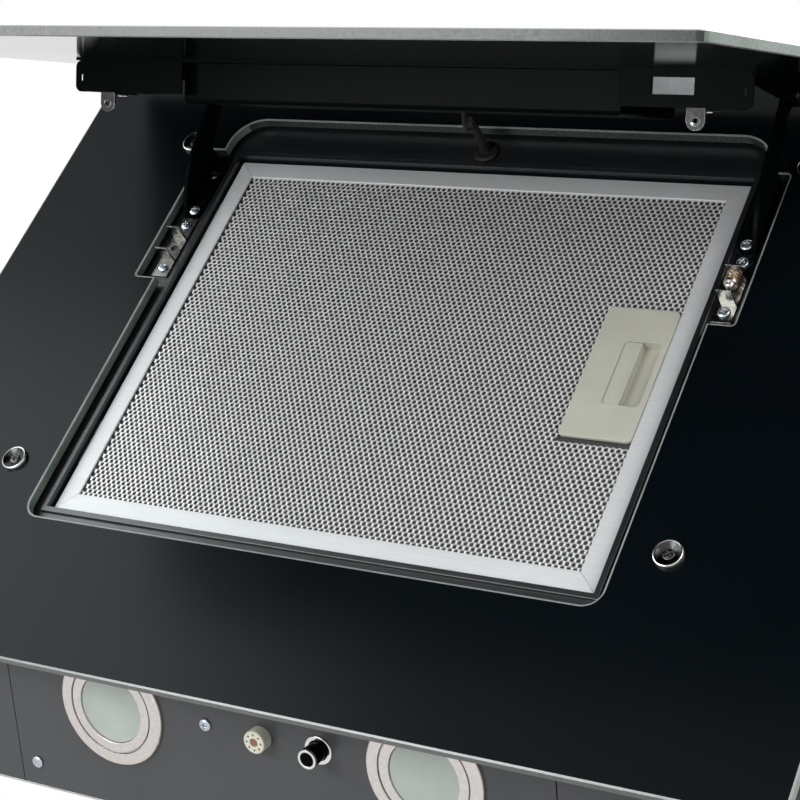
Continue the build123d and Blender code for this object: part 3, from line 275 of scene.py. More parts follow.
def anodisedMetal(name, color, roughness, stretch, metallic=0.4):
    finish = Finish(name, color, roughness, metallic=metallic)
    lines = finish.noise(40, 4, finish.stretched(stretch), 0.7)
    finish.varyColor(finish.ramped(lines, 0, 1), color, shade(color, 0.9))
    finish.varyRoughness(finish.noise(18, 3), roughness * 0.9, roughness * 1.15)
    finish.bump(lines, 0.10, 0.00003)
    return finish.material


finishes = {
    "glassFace": darkGlass("glassFace", (0.0018, 0.0034, 0.0048), 0.25, 0.09),
    "doorGlassFace": darkGlass("doorGlassFace", (0.0022, 0.0034, 0.0044), 0.10, 0.30),
    "glassEdge": glassEdge("glassEdge", (0.20, 0.25, 0.22)),
    "glassArris": glassEdge("glassArris", (0.34, 0.37, 0.36)),
    # Painted shade: a darkened copy of the glass edge colour, for the edge faces that look downward
    "glassUnderEdgeShade": glassEdge("glassUnderEdgeShade", (0.030, 0.042, 0.036)),
    "panelPaint": paintedSteel("panelPaint", (0.010, 0.012, 0.014), 0.34, 1500, 0.5, 0.8),
    "bayPaint": paintedSteel("bayPaint", (0.006, 0.008, 0.009), 0.42, 900, 0.1, 0.15),
    "undersidePaint": paintedSteel("undersidePaint", (0.060, 0.062, 0.066), 0.34, 1600, 0.2),
    "satinBlack": paintedSteel("satinBlack", (0.002, 0.003, 0.003), 0.26, 1200, 0.08, 0.015),
    "chimneyPaint": paintedSteel("chimneyPaint", (0.014, 0.014, 0.015), 0.30, 1300, 0.06, 0.4),
    "frameAluminium": anodisedMetal("frameAluminium", (0.70, 0.72, 0.73), 0.52, (1, 30, 30), 0.12),
    # strandAluminium and cupSteel mix a dark painted-shade colour and a bright painted-highlight
    # colour by each piece's shading attribute
    "strandAluminium": shadingPaintedMetal(
        "strandAluminium", (0.15, 0.15, 0.15), (0.98, 0.98, 0.97), 0.34, 0.20
    ),
    "cupSteel": shadingPaintedMetal("cupSteel", (0.05, 0.05, 0.05), (0.86, 0.86, 0.86), 0.22, 1.0),
    "darkScrew": platedMetal("darkScrew", (0.10, 0.10, 0.10), (0.05, 0.05, 0.05), 0.30),
    "lugSteel": platedMetal("lugSteel", (0.050, 0.050, 0.050), (0.036, 0.036, 0.036), 0.42),
    "windowPlate": brushedMetal("windowPlate", (0.105, 0.11, 0.11), 0.40, (1, 1, 1), 500, 0.12),
    # Painted shade: the filter core and rear mesh stand for bright aluminium mesh layers, coloured
    # dark grey for the shade deep inside the filter
    "shadedInnerLayer": platedMetal("shadedInnerLayer", (0.085, 0.085, 0.085), (0.05, 0.05, 0.05), 0.7, 0, 0.2),
    "galvanised": platedMetal("galvanised", (0.55, 0.56, 0.57), (0.40, 0.41, 0.43), 0.42, 90),
    "zinc": platedMetal("zinc", (0.56, 0.61, 0.66), (0.43, 0.48, 0.54), 0.24, 0, 0.9),
    "bracketSteel": platedMetal("bracketSteel", (0.44, 0.44, 0.42), (0.28, 0.28, 0.26), 0.24),
    "polishedSteel": platedMetal("polishedSteel", (0.80, 0.80, 0.80), (0.66, 0.66, 0.66), 0.14),
    "satinNickel": brushedMetal("satinNickel", (0.74, 0.70, 0.67), 0.36, (1, 1, 1), 500, 0.12),
    "brass": platedMetal("brass", (0.56, 0.40, 0.22), (0.40, 0.27, 0.14), 0.28),
    "springSteel": platedMetal("springSteel", (0.50, 0.50, 0.51), (0.36, 0.36, 0.37), 0.25),
    "greyPlastic": mouldedPlastic("greyPlastic", (0.56, 0.56, 0.48), 0.46),
    "blackPlastic": mouldedPlastic("blackPlastic", (0.016, 0.016, 0.017), 0.38),
    "glossBlack": mouldedPlastic("glossBlack", (0.002, 0.003, 0.003), 0.20, 500, 0.03, 0.015),
    "ivoryPlastic": mouldedPlastic("ivoryPlastic", (0.80, 0.79, 0.64), 0.30),
    "redPlastic": mouldedPlastic("redPlastic", (0.30, 0.13, 0.09), 0.35),
    "lens": frostedLens("lens", (0.54, 0.60, 0.56)),
    "rubber": softRubber("rubber", (0.006, 0.006, 0.006)),
    "foam": softRubber("foam", (0.012, 0.012, 0.012), 0.9),
    "motorPaint": paintedSteel("motorPaint", (0.06, 0.06, 0.065), 0.45),
}
print("finishes made", len(finishes))


# Mesh helpers
def bodyOf(node):
    return cadNodes[node]["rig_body"]


def newObject(name, mesh, materials):
    obj = bpy.data.objects.new(name, mesh)
    bpy.context.scene.collection.objects.link(obj)
    mesh.materials.clear()
    for key in materials:
        mesh.materials.append(finishes[key])
    return obj


def bakeModifiers(obj):
    # The evaluated result becomes a plain mesh and the modifiers go
    graph = bpy.context.evaluated_depsgraph_get()
    mesh = bpy.data.meshes.new_from_object(obj.evaluated_get(graph))
    old = obj.data
    obj.modifiers.clear()
    obj.data = mesh
    bpy.data.meshes.remove(old)
    return obj


def settle(obj, body, nodes=()):
    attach(obj, body)
    if nodes:
        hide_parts(*nodes)
    return obj


def smoothed(obj, angle=32):
    obj.data.shade_smooth()
    obj.data.set_sharp_from_angle(angle=math.radians(angle))
    return obj


def mergedCopy(node, name, materials):
    # A copy of a CAD node with its doubles merged and its flat faces joined
    mesh = cadNodes[node].data.copy()
    work = bmesh.new()
    work.from_mesh(mesh)
    bmesh.ops.remove_doubles(work, verts=work.verts, dist=2e-6)
    bmesh.ops.dissolve_limit(
        work, angle_limit=math.radians(0.6), verts=work.verts, edges=work.edges
    )
    for layer in list(work.loops.layers.uv):
        work.loops.layers.uv.remove(layer)
    work.to_mesh(mesh)
    work.free()
    if mesh.attributes.get("custom_normal"):
        mesh.attributes.remove(mesh.attributes["custom_normal"])
    mesh.validate()
    return newObject(name, mesh, materials)


def softenedNode(node, name, materials, width, segments=2, paint=None):
    # A CAD node with its edges rounded, as pressed, moulded or ground edges are
    obj = mergedCopy(node, name, materials)
    bevel = obj.modifiers.new("edge", "BEVEL")
    bevel.width = width * 0.001
    bevel.segments = segments
    bevel.limit_method = "ANGLE"
    bevel.angle_limit = math.radians(35)
    bevel.use_clamp_overlap = True
    bakeModifiers(obj)
    flattened(smoothed(obj, 50))
    if paint:
        for polygon in obj.data.polygons:
            polygon.material_index = paint(polygon)
    return settle(obj, bodyOf(node), [node])


def flattened(obj):
    # Broad faces keep their own direction, and only the narrow rounded ones blend
    normals = obj.modifiers.new("normals", "WEIGHTED_NORMAL")
    normals.weight = 100
    normals.keep_sharp = True
    return bakeModifiers(obj)


# Writes the per-vertex shading attribute, which paints shade (0) and highlight (1) into the metal's
# colour
def addPaintedShading(obj, shadingAt):
    paintedShading = obj.data.attributes.new("paintedShading", "FLOAT", "POINT")
    for index, vertex in enumerate(obj.data.vertices):
        paintedShading.data[index].value = shadingAt(vertex.co)
    return obj


def meshFrom(name, points, faces, materials, place=None):
    mesh = bpy.data.meshes.new(name)
    mesh.from_pydata([tuple(point) for point in points], [], faces)
    work = bmesh.new()
    work.from_mesh(mesh)
    bmesh.ops.remove_doubles(work, verts=work.verts, dist=1e-5)
    bmesh.ops.recalc_face_normals(work, faces=work.faces)
    work.to_mesh(mesh)
    work.free()
    if place:
        mesh.transform(place)
    return newObject(name, mesh, materials)


def revolved(name, profile, materials, steps=64):
    # A closed profile of (radius, height) turned about z; the points on the axis are merged
    points = []
    for step in range(steps):
        angle = 2 * math.pi * step / steps
        for radius, height in profile:
            points.append((radius * math.cos(angle), radius * math.sin(angle), height))
    count = len(profile)
    faces = []
    for step in range(steps):
        after = (step + 1) % steps
        for index in range(count):
            following = (index + 1) % count
            faces.append((
                step * count + index,
                after * count + index,
                after * count + following,
                step * count + following,
            ))
    obj = meshFrom(name, points, faces, materials)
    work = bmesh.new()
    work.from_mesh(obj.data)
    bmesh.ops.dissolve_degenerate(work, dist=1e-5, edges=work.edges)
    bmesh.ops.recalc_face_normals(work, faces=work.faces)
    work.to_mesh(obj.data)
    work.free()
    return obj


def helixTube(meanRadius, length, turns, wire, perTurn=28, around=8):
    # Points and faces of a spring along z, its ends capped
    points = []
    total = perTurn * turns
    for step in range(total + 1):
        share = step / total
        angle = 2 * math.pi * turns * share
        height = wire / 2 + (length - wire) * share
        center = Vector((meanRadius * math.cos(angle), meanRadius * math.sin(angle), height))
        along = Vector((
            -meanRadius * math.sin(angle),
            meanRadius * math.cos(angle),
            (length - wire) / (2 * math.pi * turns),
        )).normalized()
        outward = Vector((math.cos(angle), math.sin(angle), 0))
        side = along.cross(outward)
        for spoke in range(around):
            turn = 2 * math.pi * spoke / around
            points.append(center + (outward * math.cos(turn) + side * math.sin(turn)) * wire / 2)
    faces = []
    for step in range(total):
        for spoke in range(around):
            after = (spoke + 1) % around
            low, high = step * around, (step + 1) * around
            faces.append((low + spoke, low + after, high + after, high + spoke))
    faces.append(tuple(range(around)))
    faces.append(tuple(range(total * around, (total + 1) * around)))
    return points, faces


# Node group helpers
class NodeRecipe:
    # Builds a geometry tree with named inputs, and puts it on a piece

    def __init__(self, name):
        self.tree = bpy.data.node_groups.new(name, "GeometryNodeTree")
        self.tree.interface.new_socket(
            name="Geometry", in_out="INPUT", socket_type="NodeSocketGeometry"
        )
        self.tree.interface.new_socket(
            name="Geometry", in_out="OUTPUT", socket_type="NodeSocketGeometry"
        )
        self.entry = self.tree.nodes.new("NodeGroupInput")
        self.exit = self.tree.nodes.new("NodeGroupOutput")
        self.sockets = {}

    def value(self, name, kind):
        socket = self.tree.interface.new_socket(
            name=name, in_out="INPUT", socket_type=f"NodeSocket{kind}"
        )
        self.sockets[name] = socket.identifier
        return self.entry.outputs[name]

    def add(self, kind, **settings):
        node = self.tree.nodes.new(kind)
        for key, value in settings.items():
            setattr(node, key, value)
        return node

    def join(self, source, target):
        self.tree.links.new(source, target)

    def feed(self, target, source):
        if hasattr(source, "is_linked"):
            self.join(source, target)
        else:
            target.default_value = source

    def math(self, operation, first, second=0.0):
        node = self.add("ShaderNodeMath", operation=operation)
        self.feed(node.inputs[0], first)
        self.feed(node.inputs[1], second)
        return node.outputs[0]

    def vector(self, x, y, z):
        node = self.add("ShaderNodeCombineXYZ")
        for socket, source in zip(node.inputs, (x, y, z)):
            self.feed(socket, source)
        return node.outputs[0]

    def close(self, geometry, material):
        realize = self.add("GeometryNodeRealizeInstances")
        self.join(geometry, realize.inputs[0])
        paint = self.add("GeometryNodeSetMaterial")
        self.join(realize.outputs[0], paint.inputs["Geometry"])
        self.join(material, paint.inputs["Material"])
        self.join(paint.outputs[0], self.exit.inputs[0])

    def applyTo(self, obj, values):
        modifier = obj.modifiers.new("recipe", "NODES")
        modifier.node_group = self.tree
        for name, value in values.items():
            modifier[self.sockets[name]] = value
        return bakeModifiers(obj)


def scatterRecipe():
    # Puts one small part on every point, each turned at random about its own axis
    recipe = NodeRecipe("placeFasteners")
    part = recipe.value("Part", "Object")
    axis = recipe.value("Axis", "Vector")
    seed = recipe.value("Seed", "Int")
    finish = recipe.value("Finish", "Material")
    info = recipe.add("GeometryNodeObjectInfo", transform_space="ORIGINAL")
    recipe.join(part, info.inputs["Object"])
    chance = recipe.add("FunctionNodeRandomValue", data_type="FLOAT")
    floats = [socket for socket in chance.inputs if socket.type == "VALUE"]
    floats[0].default_value = 0.0
    floats[1].default_value = 2 * math.pi
    recipe.join(seed, chance.inputs["Seed"])
    turn = recipe.add("FunctionNodeAxisAngleToRotation")
    recipe.join(axis, turn.inputs["Axis"])
    turned = next(socket for socket in chance.outputs if socket.type == "VALUE")
    recipe.join(turned, turn.inputs["Angle"])
    place = recipe.add("GeometryNodeInstanceOnPoints")
    recipe.join(recipe.entry.outputs["Geometry"], place.inputs["Points"])
    recipe.join(info.outputs["Geometry"], place.inputs["Instance"])
    recipe.join(turn.outputs["Rotation"], place.inputs["Rotation"])
    recipe.close(place.outputs["Instances"], finish)
    return recipe


fastenerRecipe = scatterRecipe()


def scattered(name, part, places, axis, seed, finish, body, nodes):
    mesh = bpy.data.meshes.new(name)
    mesh.from_pydata([tuple(place) for place in places], [], [])
    obj = newObject(name, mesh, [finish])
    fastenerRecipe.applyTo(obj, {
        "Part": part, "Axis": tuple(axis), "Seed": seed, "Finish": finishes[finish],
    })
    smoothed(obj, 35)
    return settle(obj, body, nodes)


def orientedPart(obj, axis):
    # Turns a part drawn along z so that it points along the axis, in metres
    turn = Vector((0, 0, 1)).rotation_difference(axis).to_matrix().to_4x4()
    obj.data.transform(turn @ Matrix.Scale(0.001, 4))
    obj.hide_render = True
    obj.hide_viewport = True
    return obj


# Fixed glass
glassSizes = {"arrisWidth": 1.1, "arrisDrop": 0.45}


def groundGlass(node, name, face, outward, sizes):
    # A pane whose black faces stop at a bright ground arris all round, over a ground edge whose
    # downward-facing faces get a darker copy of the edge colour as painted shade
    obj = mergedCopy(node, name, [face, "glassEdge", "glassArris", "glassUnderEdgeShade"])
    work = bmesh.new()
    work.from_mesh(obj.data)
    for polygon in work.faces:
        # Painted shade: edge faces that look downward get the dark under-edge colour, the rest the
        # plain edge colour
        polygon.material_index = 3 if polygon.normal.z < -0.6 else 1
    for side in (1, -1):
        broad = [polygon for polygon in work.faces if polygon.normal.dot(outward) * side > 0.97]
        for polygon in broad:
            polygon.material_index = 0
        rim = bmesh.ops.inset_region(
            work, faces=broad, thickness=sizes["arrisWidth"] * 0.001, use_boundary=True,
            use_even_offset=True,
        )["faces"]
        inner = {vertex for polygon in broad for vertex in polygon.verts}
        outer = set()
        for polygon in rim:
            polygon.material_index = 2
            outer.update(vertex for vertex in polygon.verts if vertex not in inner)
        for vertex in outer:
            vertex.co -= outward * side * sizes["arrisDrop"] * 0.001
    work.to_mesh(obj.data)
    work.free()
    flattened(smoothed(obj, 12))
    return settle(obj, bodyOf(node), [node])


doorOut = (doorFrame.to_3x3() @ Vector((0, 0, 1))).normalized()
groundGlass("fixed_glass", "fixedGlass", "glassFace", glassOut, glassSizes)
groundGlass("door_glass", "doorGlass", "doorGlassFace", doorOut, glassSizes)
print("glass made")

# Filter frame: four mitred lengths of folded aluminium
filterSizes = {
    "halfWidth": 171.0, "low": 101.0, "height": 267.3, "face": -10.6, "depth": 9.0,
    "border": 12.0, "rearBorder": 9.0, "wall": 1.0, "mitreGap": 0.12, "lipRadius": 0.8,
}


def mitredFrame(sizes):
    face, back = sizes["face"], sizes["face"] - sizes["depth"]
    wall, lip = sizes["wall"], sizes["lipRadius"]
    section = [(0, back + lip), (0, face - lip)]
    section += [
        (lip * (1 - math.cos(turn)), face - lip + lip * math.sin(turn))
        for turn in (math.radians(angle) for angle in (22, 45, 68, 90))
    ]
    section += [(sizes["border"] - 0.4, face), (sizes["border"], face - 0.4)]
    section += [(sizes["border"], face - wall), (wall, face - wall), (wall, back + wall)]
    section += [(sizes["rearBorder"], back + wall), (sizes["rearBorder"], back), (lip, back)]
    middle = sizes["low"] + sizes["height"] / 2
    halfX, halfU = sizes["halfWidth"], sizes["height"] / 2
    points, faces = [], []
    count = len(section)
    for turn, (reach, side) in enumerate(
        ((halfX, halfU), (halfU, halfX), (halfX, halfU), (halfU, halfX))
    ):
        angle = math.radians(90 * turn)
        base = len(points)
        for end in (-1, 1):
            for inward, n in section:
                along = end * (reach - inward - sizes["mitreGap"])
                across = inward - side
                x = along * math.cos(angle) - across * math.sin(angle)
                u = along * math.sin(angle) + across * math.cos(angle)
                points.append((x, middle + u, n))
        for index in range(count):
            following = (index + 1) % count
            faces.append((
                base + index, base + following, base + count + following, base + count + index
            ))
        faces.append(tuple(base + index for index in range(count)))
        faces.append(tuple(base + count + index for index in reversed(range(count))))
    for u in (middle - 85, middle + 85):
        base = len(points)
        for x in (-halfX - 4.5, -halfX + 0.4):
            for v in (u - 15, u + 15):
                for n in (face - 3.6, face - 2.0):
                    points.append((x, v, n))
        faces += [
            tuple(base + corner for corner in quad)
            for quad in (
                (0, 1, 3, 2), (4, 6, 7, 5), (0, 4, 5, 1), (2, 3, 7, 6), (0, 2, 6, 4), (1, 5, 7, 3)
            )
        ]
    return points, faces


framePoints, frameFaces = mitredFrame(filterSizes)
filterFrame = meshFrom(
    "filterFrame", framePoints, frameFaces, ["frameAluminium"], slantFrame
)
smoothed(filterFrame, 30)
settle(filterFrame, "hood", ["filter_frame"])

# Expanded mesh
meshSizes = {
    "columns": 94, "rows": 98, "pitchX": 3.57, "pitchU": 2.68, "level": -12.1,
    "knuckleLength": 2.1, "knuckleWidth": 1.6, "knuckleTop": 1.05, "knuckleHeight": 0.55,
    "strandWidth": 1.3, "strandHeight": 0.42, "ridgeShift": -0.12, "jitter": 0.05,
    # The field stops short of the frame on the left only, so the dark inner layer shows there as a
    # painted shadow line along the frame's edge
    "fieldLeft": -157.6, "fieldRight": 166.0, "fieldLow": 105.0, "fieldHigh": 364.0,
    "handleLeft": 117.6, "handleLow": 191.6, "handleHigh": 276.4,
}


def prismBetween(start, end, section):
    # A closed prism whose section (sideways, outward) runs from one point to the other
    along = (Vector(end) - Vector(start)).normalized()
    sideways = Vector((along.y, -along.x, 0))
    points = [
        Vector((*place, 0)) + sideways * side + Vector((0, 0, out))
        for place in (start[:2], end[:2]) for side, out in section
    ]
    count = len(section)
    faces = [
        (index, (index + 1) % count, count + (index + 1) % count, count + index)
        for index in range(count)
    ]
    faces += [tuple(reversed(range(count))), tuple(range(count, 2 * count))]
    return points, faces


def meshCell(sizes):
    # One knuckle that stands along u, and the two strands that leave its upper end
    wide, top, high = sizes["knuckleWidth"] / 2, sizes["knuckleTop"] / 2, sizes["knuckleHeight"]
    half = sizes["knuckleLength"] / 2
    knuckle = [(-wide, 0), (wide, 0), (top, high), (-top, high)]
    edge, low = sizes["strandWidth"] / 2, sizes["strandHeight"]
    shift = sizes["ridgeShift"]
    reachX, reachU = sizes["pitchX"] / 2, sizes["pitchU"] - half
    tip = half - 0.15
    parts = [prismBetween((0, -half, 0), (0, half, 0), knuckle)]
    parts.append(prismBetween(
        (0, tip, 0), (reachX, reachU + 0.15, 0), [(-edge, 0), (edge, 0), (-shift, low)]
    ))
    parts.append(prismBetween(
        (0, tip, 0), (-reachX, reachU + 0.15, 0), [(-edge, 0), (edge, 0), (shift, low)]
    ))
    points, faces = [], []
    for partPoints, partFaces in parts:
        faces += [tuple(len(points) + index for index in face) for face in partFaces]
        points += partPoints
    cell = meshFrom("meshCell", points, faces, ["strandAluminium"])
    # Painted shade and highlight: the cell's colour runs by height from dark at the foot of the
    # strands to bright on the knuckle tops
    addPaintedShading(cell, lambda place: max(0.0, (place.z - 0.1) / (high - 0.1)) ** 1.5)
    cell.hide_render = True
    cell.hide_viewport = True
    return cell


def expandedRecipe():
    # A staggered lattice of cells, cut to the field and round the handle
    recipe = NodeRecipe("expandedMesh")
    cell = recipe.value("Cell", "Object")
    pitchX = recipe.value("Pitch X", "Float")
    pitchU = recipe.value("Pitch U", "Float")
    columns = recipe.value("Columns", "Int")
    rows = recipe.value("Rows", "Int")
    limits = {
        name: recipe.value(name, "Float")
        for name in ("Field Left", "Field Right", "Field Low", "Field High",
                     "Handle Left", "Handle Low", "Handle High")
    }
    jitter = recipe.value("Jitter", "Float")
    seed = recipe.value("Seed", "Int")
    finish = recipe.value("Finish", "Material")
    grid = recipe.add("GeometryNodeMeshGrid")
    recipe.join(recipe.math("MULTIPLY", pitchX, columns), grid.inputs["Size X"])
    recipe.join(recipe.math("MULTIPLY", pitchU, rows), grid.inputs["Size Y"])
    recipe.join(recipe.math("ADD", columns, 1), grid.inputs["Vertices X"])
    recipe.join(recipe.math("ADD", rows, 1), grid.inputs["Vertices Y"])
    place = recipe.add("GeometryNodeInputPosition")
    split = recipe.add("ShaderNodeSeparateXYZ")
    recipe.join(place.outputs[0], split.inputs[0])
    x, u = split.outputs[0], split.outputs[1]
    fromLow = recipe.math("ADD", u, recipe.math(
        "MULTIPLY", recipe.math("MULTIPLY", pitchU, rows), 0.5
    ))
    row = recipe.math("ROUND", recipe.math("DIVIDE", fromLow, pitchU))
    shift = recipe.math(
        "MULTIPLY", recipe.math("MODULO", row, 2.0), recipe.math("MULTIPLY", pitchX, 0.5)
    )
    stagger = recipe.add("GeometryNodeSetPosition")
    recipe.join(grid.outputs["Mesh"], stagger.inputs["Geometry"])
    recipe.join(recipe.vector(shift, 0.0, 0.0), stagger.inputs["Offset"])
    outside = recipe.math("LESS_THAN", x, limits["Field Left"])
    for test, value, limit in (
        ("GREATER_THAN", x, "Field Right"), ("LESS_THAN", u, "Field Low"),
        ("GREATER_THAN", u, "Field High"),
    ):
        outside = recipe.math("MAXIMUM", outside, recipe.math(test, value, limits[limit]))
    inHandle = recipe.math("GREATER_THAN", x, limits["Handle Left"])
    for test, limit in (("GREATER_THAN", "Handle Low"), ("LESS_THAN", "Handle High")):
        inHandle = recipe.math("MULTIPLY", inHandle, recipe.math(test, u, limits[limit]))
    remove = recipe.add("GeometryNodeDeleteGeometry", domain="POINT")
    recipe.join(stagger.outputs[0], remove.inputs["Geometry"])
    recipe.join(recipe.math("MAXIMUM", outside, inHandle), remove.inputs["Selection"])
    info = recipe.add("GeometryNodeObjectInfo", transform_space="ORIGINAL")
    recipe.join(cell, info.inputs["Object"])
    chance = recipe.add("FunctionNodeRandomValue", data_type="FLOAT_VECTOR")
    spans = [socket for socket in chance.inputs if socket.type == "VECTOR"]
    recipe.join(recipe.vector(*(recipe.math("MULTIPLY", jitter, -1.0),) * 3), spans[0])
    recipe.join(recipe.vector(jitter, jitter, jitter), spans[1])
    recipe.join(seed, chance.inputs["Seed"])
    spread = recipe.add("GeometryNodeInstanceOnPoints")
    recipe.join(remove.outputs[0], spread.inputs["Points"])
    recipe.join(info.outputs["Geometry"], spread.inputs["Instance"])
    leaned = next(socket for socket in chance.outputs if socket.type == "VECTOR")
    recipe.join(leaned, spread.inputs["Rotation"])
    recipe.close(spread.outputs[0], finish)
    return recipe


def expandedSheet(sizes):
    middle = (sizes["fieldLow"] + sizes["fieldHigh"]) / 2
    cell = meshCell(sizes)
    recipe = expandedRecipe()
    place = slantFrame @ Matrix.Translation((0, middle, sizes["level"]))
    for name, left, right in (
        ("filterMeshLeft", sizes["fieldLeft"], 0), ("filterMeshRight", 0, sizes["fieldRight"])
    ):
        obj = newObject(name, bpy.data.meshes.new(name), ["strandAluminium"])
        recipe.applyTo(obj, {
            "Cell": cell, "Pitch X": sizes["pitchX"], "Pitch U": sizes["pitchU"],
            "Columns": sizes["columns"], "Rows": sizes["rows"],
            "Field Left": left + 0.01, "Field Right": right + 0.01,
            "Field Low": sizes["fieldLow"] - middle,
            "Field High": sizes["fieldHigh"] - middle,
            "Handle Left": sizes["handleLeft"] - 1.0,
            "Handle Low": sizes["handleLow"] - middle - sizes["pitchU"],
            "Handle High": sizes["handleHigh"] - middle,
            "Jitter": sizes["jitter"], "Seed": 4, "Finish": finishes["strandAluminium"],
        })
        obj.data.transform(place)
        obj.data.shade_flat()
        print(name, "cells of", len(obj.data.polygons), "faces")
        settle(obj, "hood", ["filter_front_mesh"])


expandedSheet(meshSizes)
# The inner layers take the dark painted-shade colour
for node, name in (("filter_core", "filterCore"), ("filter_rear_mesh", "filterRearMesh")):
    softenedNode(node, name, ["shadedInnerLayer"], 0.2)
print("filter made")

# Handle and latch
softenedNode("filter_handle", "filterHandle", ["greyPlastic"], 0.5, 3)
softenedNode("filter_latch", "filterLatch", ["greyPlastic"], 0.3, 2)

# Fasteners
cupProfile = [
    (2.2, 0.02), (2.2, 0.5), (3.3, 0.8), (6.2, 2.05), (6.7, 2.4), (7.2, 2.5), (7.6, 2.3),
    (7.9, 1.7), (8.0, 0.8), (8.0, 0.02),
]
glassScrewSides = (206.0, -206.0)
glassScrewRows = (123.0, 373.0)
glassScrewPlaces = [slantPoint(x, u, 0) for x in glassScrewSides for u in glassScrewRows]
cup = revolved("cupWasherPart", cupProfile, ["cupSteel"], 96)
# Painted shade and highlight: the washer is dark inside its cone up to 6.8 mm out, and bright on
# its outer rim from 7.3 mm
addPaintedShading(cup, lambda place: min(1.0, max(0.0, (place.xy.length - 6.8) / 0.5)))
orientedPart(cup, glassOut)
scattered(
    "cupWashers", cup, glassScrewPlaces, glassOut, 3, "cupSteel", "hood",
    ["cup_washers"],
)


def crossHead(name, profile, slotWidth, slotReach, slotDepth, top):
    # A turned head with a cross recess cut into it
    head = revolved(name, profile, ["zinc"], 40)
    cutter = bmesh.new()
    for turn in (0, 90):
        made = bmesh.ops.create_cube(cutter, size=1.0)["verts"]
        bmesh.ops.scale(cutter, verts=made, vec=(slotReach * 2, slotWidth, slotDepth * 2))
        bmesh.ops.translate(cutter, verts=made, vec=(0, 0, top))
        bmesh.ops.rotate(
            cutter, verts=made, cent=(0, 0, 0),
            matrix=Matrix.Rotation(math.radians(turn), 3, "Z"),
        )
    cutMesh = bpy.data.meshes.new(name + "Cut")
    cutter.to_mesh(cutMesh)
    cutter.free()
    cutObject = newObject(name + "Cut", cutMesh, ["zinc"])
    boolean = head.modifiers.new("cross", "BOOLEAN")
    boolean.operation = "DIFFERENCE"
    boolean.solver = "EXACT"
    boolean.use_self = True
    boolean.object = cutObject
    bakeModifiers(head)
    bpy.data.objects.remove(cutObject)
    flattened(smoothed(head, 40))
    return head


glassHead = crossHead(
    "glassScrewPart",
    [(0, -14), (1.95, -14), (1.95, 0.2), (3.0, 0.75), (3.1, 1.05), (2.6, 1.4), (1.5, 1.6),
     (0, 1.65)],
    0.7, 1.9, 1.0, 1.65,
)
scattered(
    "glassScrews", orientedPart(glassHead, glassOut), glassScrewPlaces, glassOut, 11,
    "darkScrew", "hood", ["glass_screws"],
)
panProfile = [
    (0, -8), (1.6, -8), (1.6, 0), (3.5, 0), (3.5, 0.8), (3.3, 1.3), (2.8, 1.7), (2.0, 1.93),
    (1.0, 2.0), (0, 2.0),
]
panHead = orientedPart(crossHead("pocketScrewPart", panProfile, 0.7, 1.9, 1.1, 2.0), glassOut)
for name, finish, rows in (
    ("pocketScrews", "zinc", ((183.0, 322.0, -6.0), (184.0, 276.5, -6.8), (184.0, 310.4, -6.8))),
    # Painted shade: the foot screws are the same screws as the zinc pocket screws, given the dark
    # screw colour for the shade they sit in
    ("footScrews", "darkScrew", ((183.0, 352.0, -6.0),)),
):
    places = [slantPoint(side * x, u, n) for side in (-1, 1) for x, u, n in rows]
    scattered(
        name, panHead, places, glassOut, 5, finish, "hood", ["pocket_screws"]
    )
underHead = crossHead("undersideScrewPart", panProfile, 0.7, 1.9, 1.1, 2.0)
underPlaces = [(-0.036, -0.064, -0.145), (-0.160, -0.016, -0.145), (0.160, -0.016, -0.145)]
down = Vector((0, 0, -1))
scattered(
    "undersideScrews", orientedPart(underHead, down), underPlaces, down, 8, "zinc",
    "hood", ["underside_screws"],
)
print("fasteners made")

# Springs
springSizes = {
    "catch": {
        "radius": 3.6, "length": 6.8, "turns": 3, "wire": 0.8,
        "x": 184.0, "low": 293.25, "n": -1.6, "keep": 0.56,
    },
    "latch": {"radius": 1.6, "length": 11.0, "turns": 5, "wire": 0.5, "keep": 0.64},
}


def catchSpring(sizes):
    tube, faces = helixTube(sizes["radius"], sizes["length"], sizes["turns"], sizes["wire"])
    points = [
        (sizes["x"] + point.x, sizes["low"] + point.z, sizes["n"] + point.y) for point in tube
    ]
    obj = meshFrom("catchSpring", points, faces, ["brass"], slantFrame)
    smoothed(obj, 50)
    settle(obj, "hood", ["catch_spring"])
    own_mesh(obj)


catchSpring(springSizes["catch"])
latchLow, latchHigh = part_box("latch_spring")


def latchSpring(sizes):
    tube, faces = helixTube(sizes["radius"], sizes["length"], sizes["turns"], sizes["wire"])
    left = latchLow.x * 1000
    middle = (latchLow + latchHigh) / 2
    local = slantFrame.inverted() @ middle
    points = [(left + point.z, local.y + point.y, local.z + point.x) for point in tube]
    obj = meshFrom("latchSpring", points, faces, ["springSteel"], slantFrame)
    smoothed(obj, 50)
    settle(obj, "hood", ["latch_spring"])
    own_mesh(obj)


latchSpring(springSizes["latch"])
print("springs made")

# Lead from the grommet to the door's control case
leadSizes = {
    "radius": 1.3, "sides": 12, "length": 0.1035,
    "caseX": 39.0, "caseDown": 95.0, "caseFloor": -16.5,
    "bootUp": 382, "bootOut": 14,  # mouth of the grommet's boot
    "intoBoot": 5.9,
}


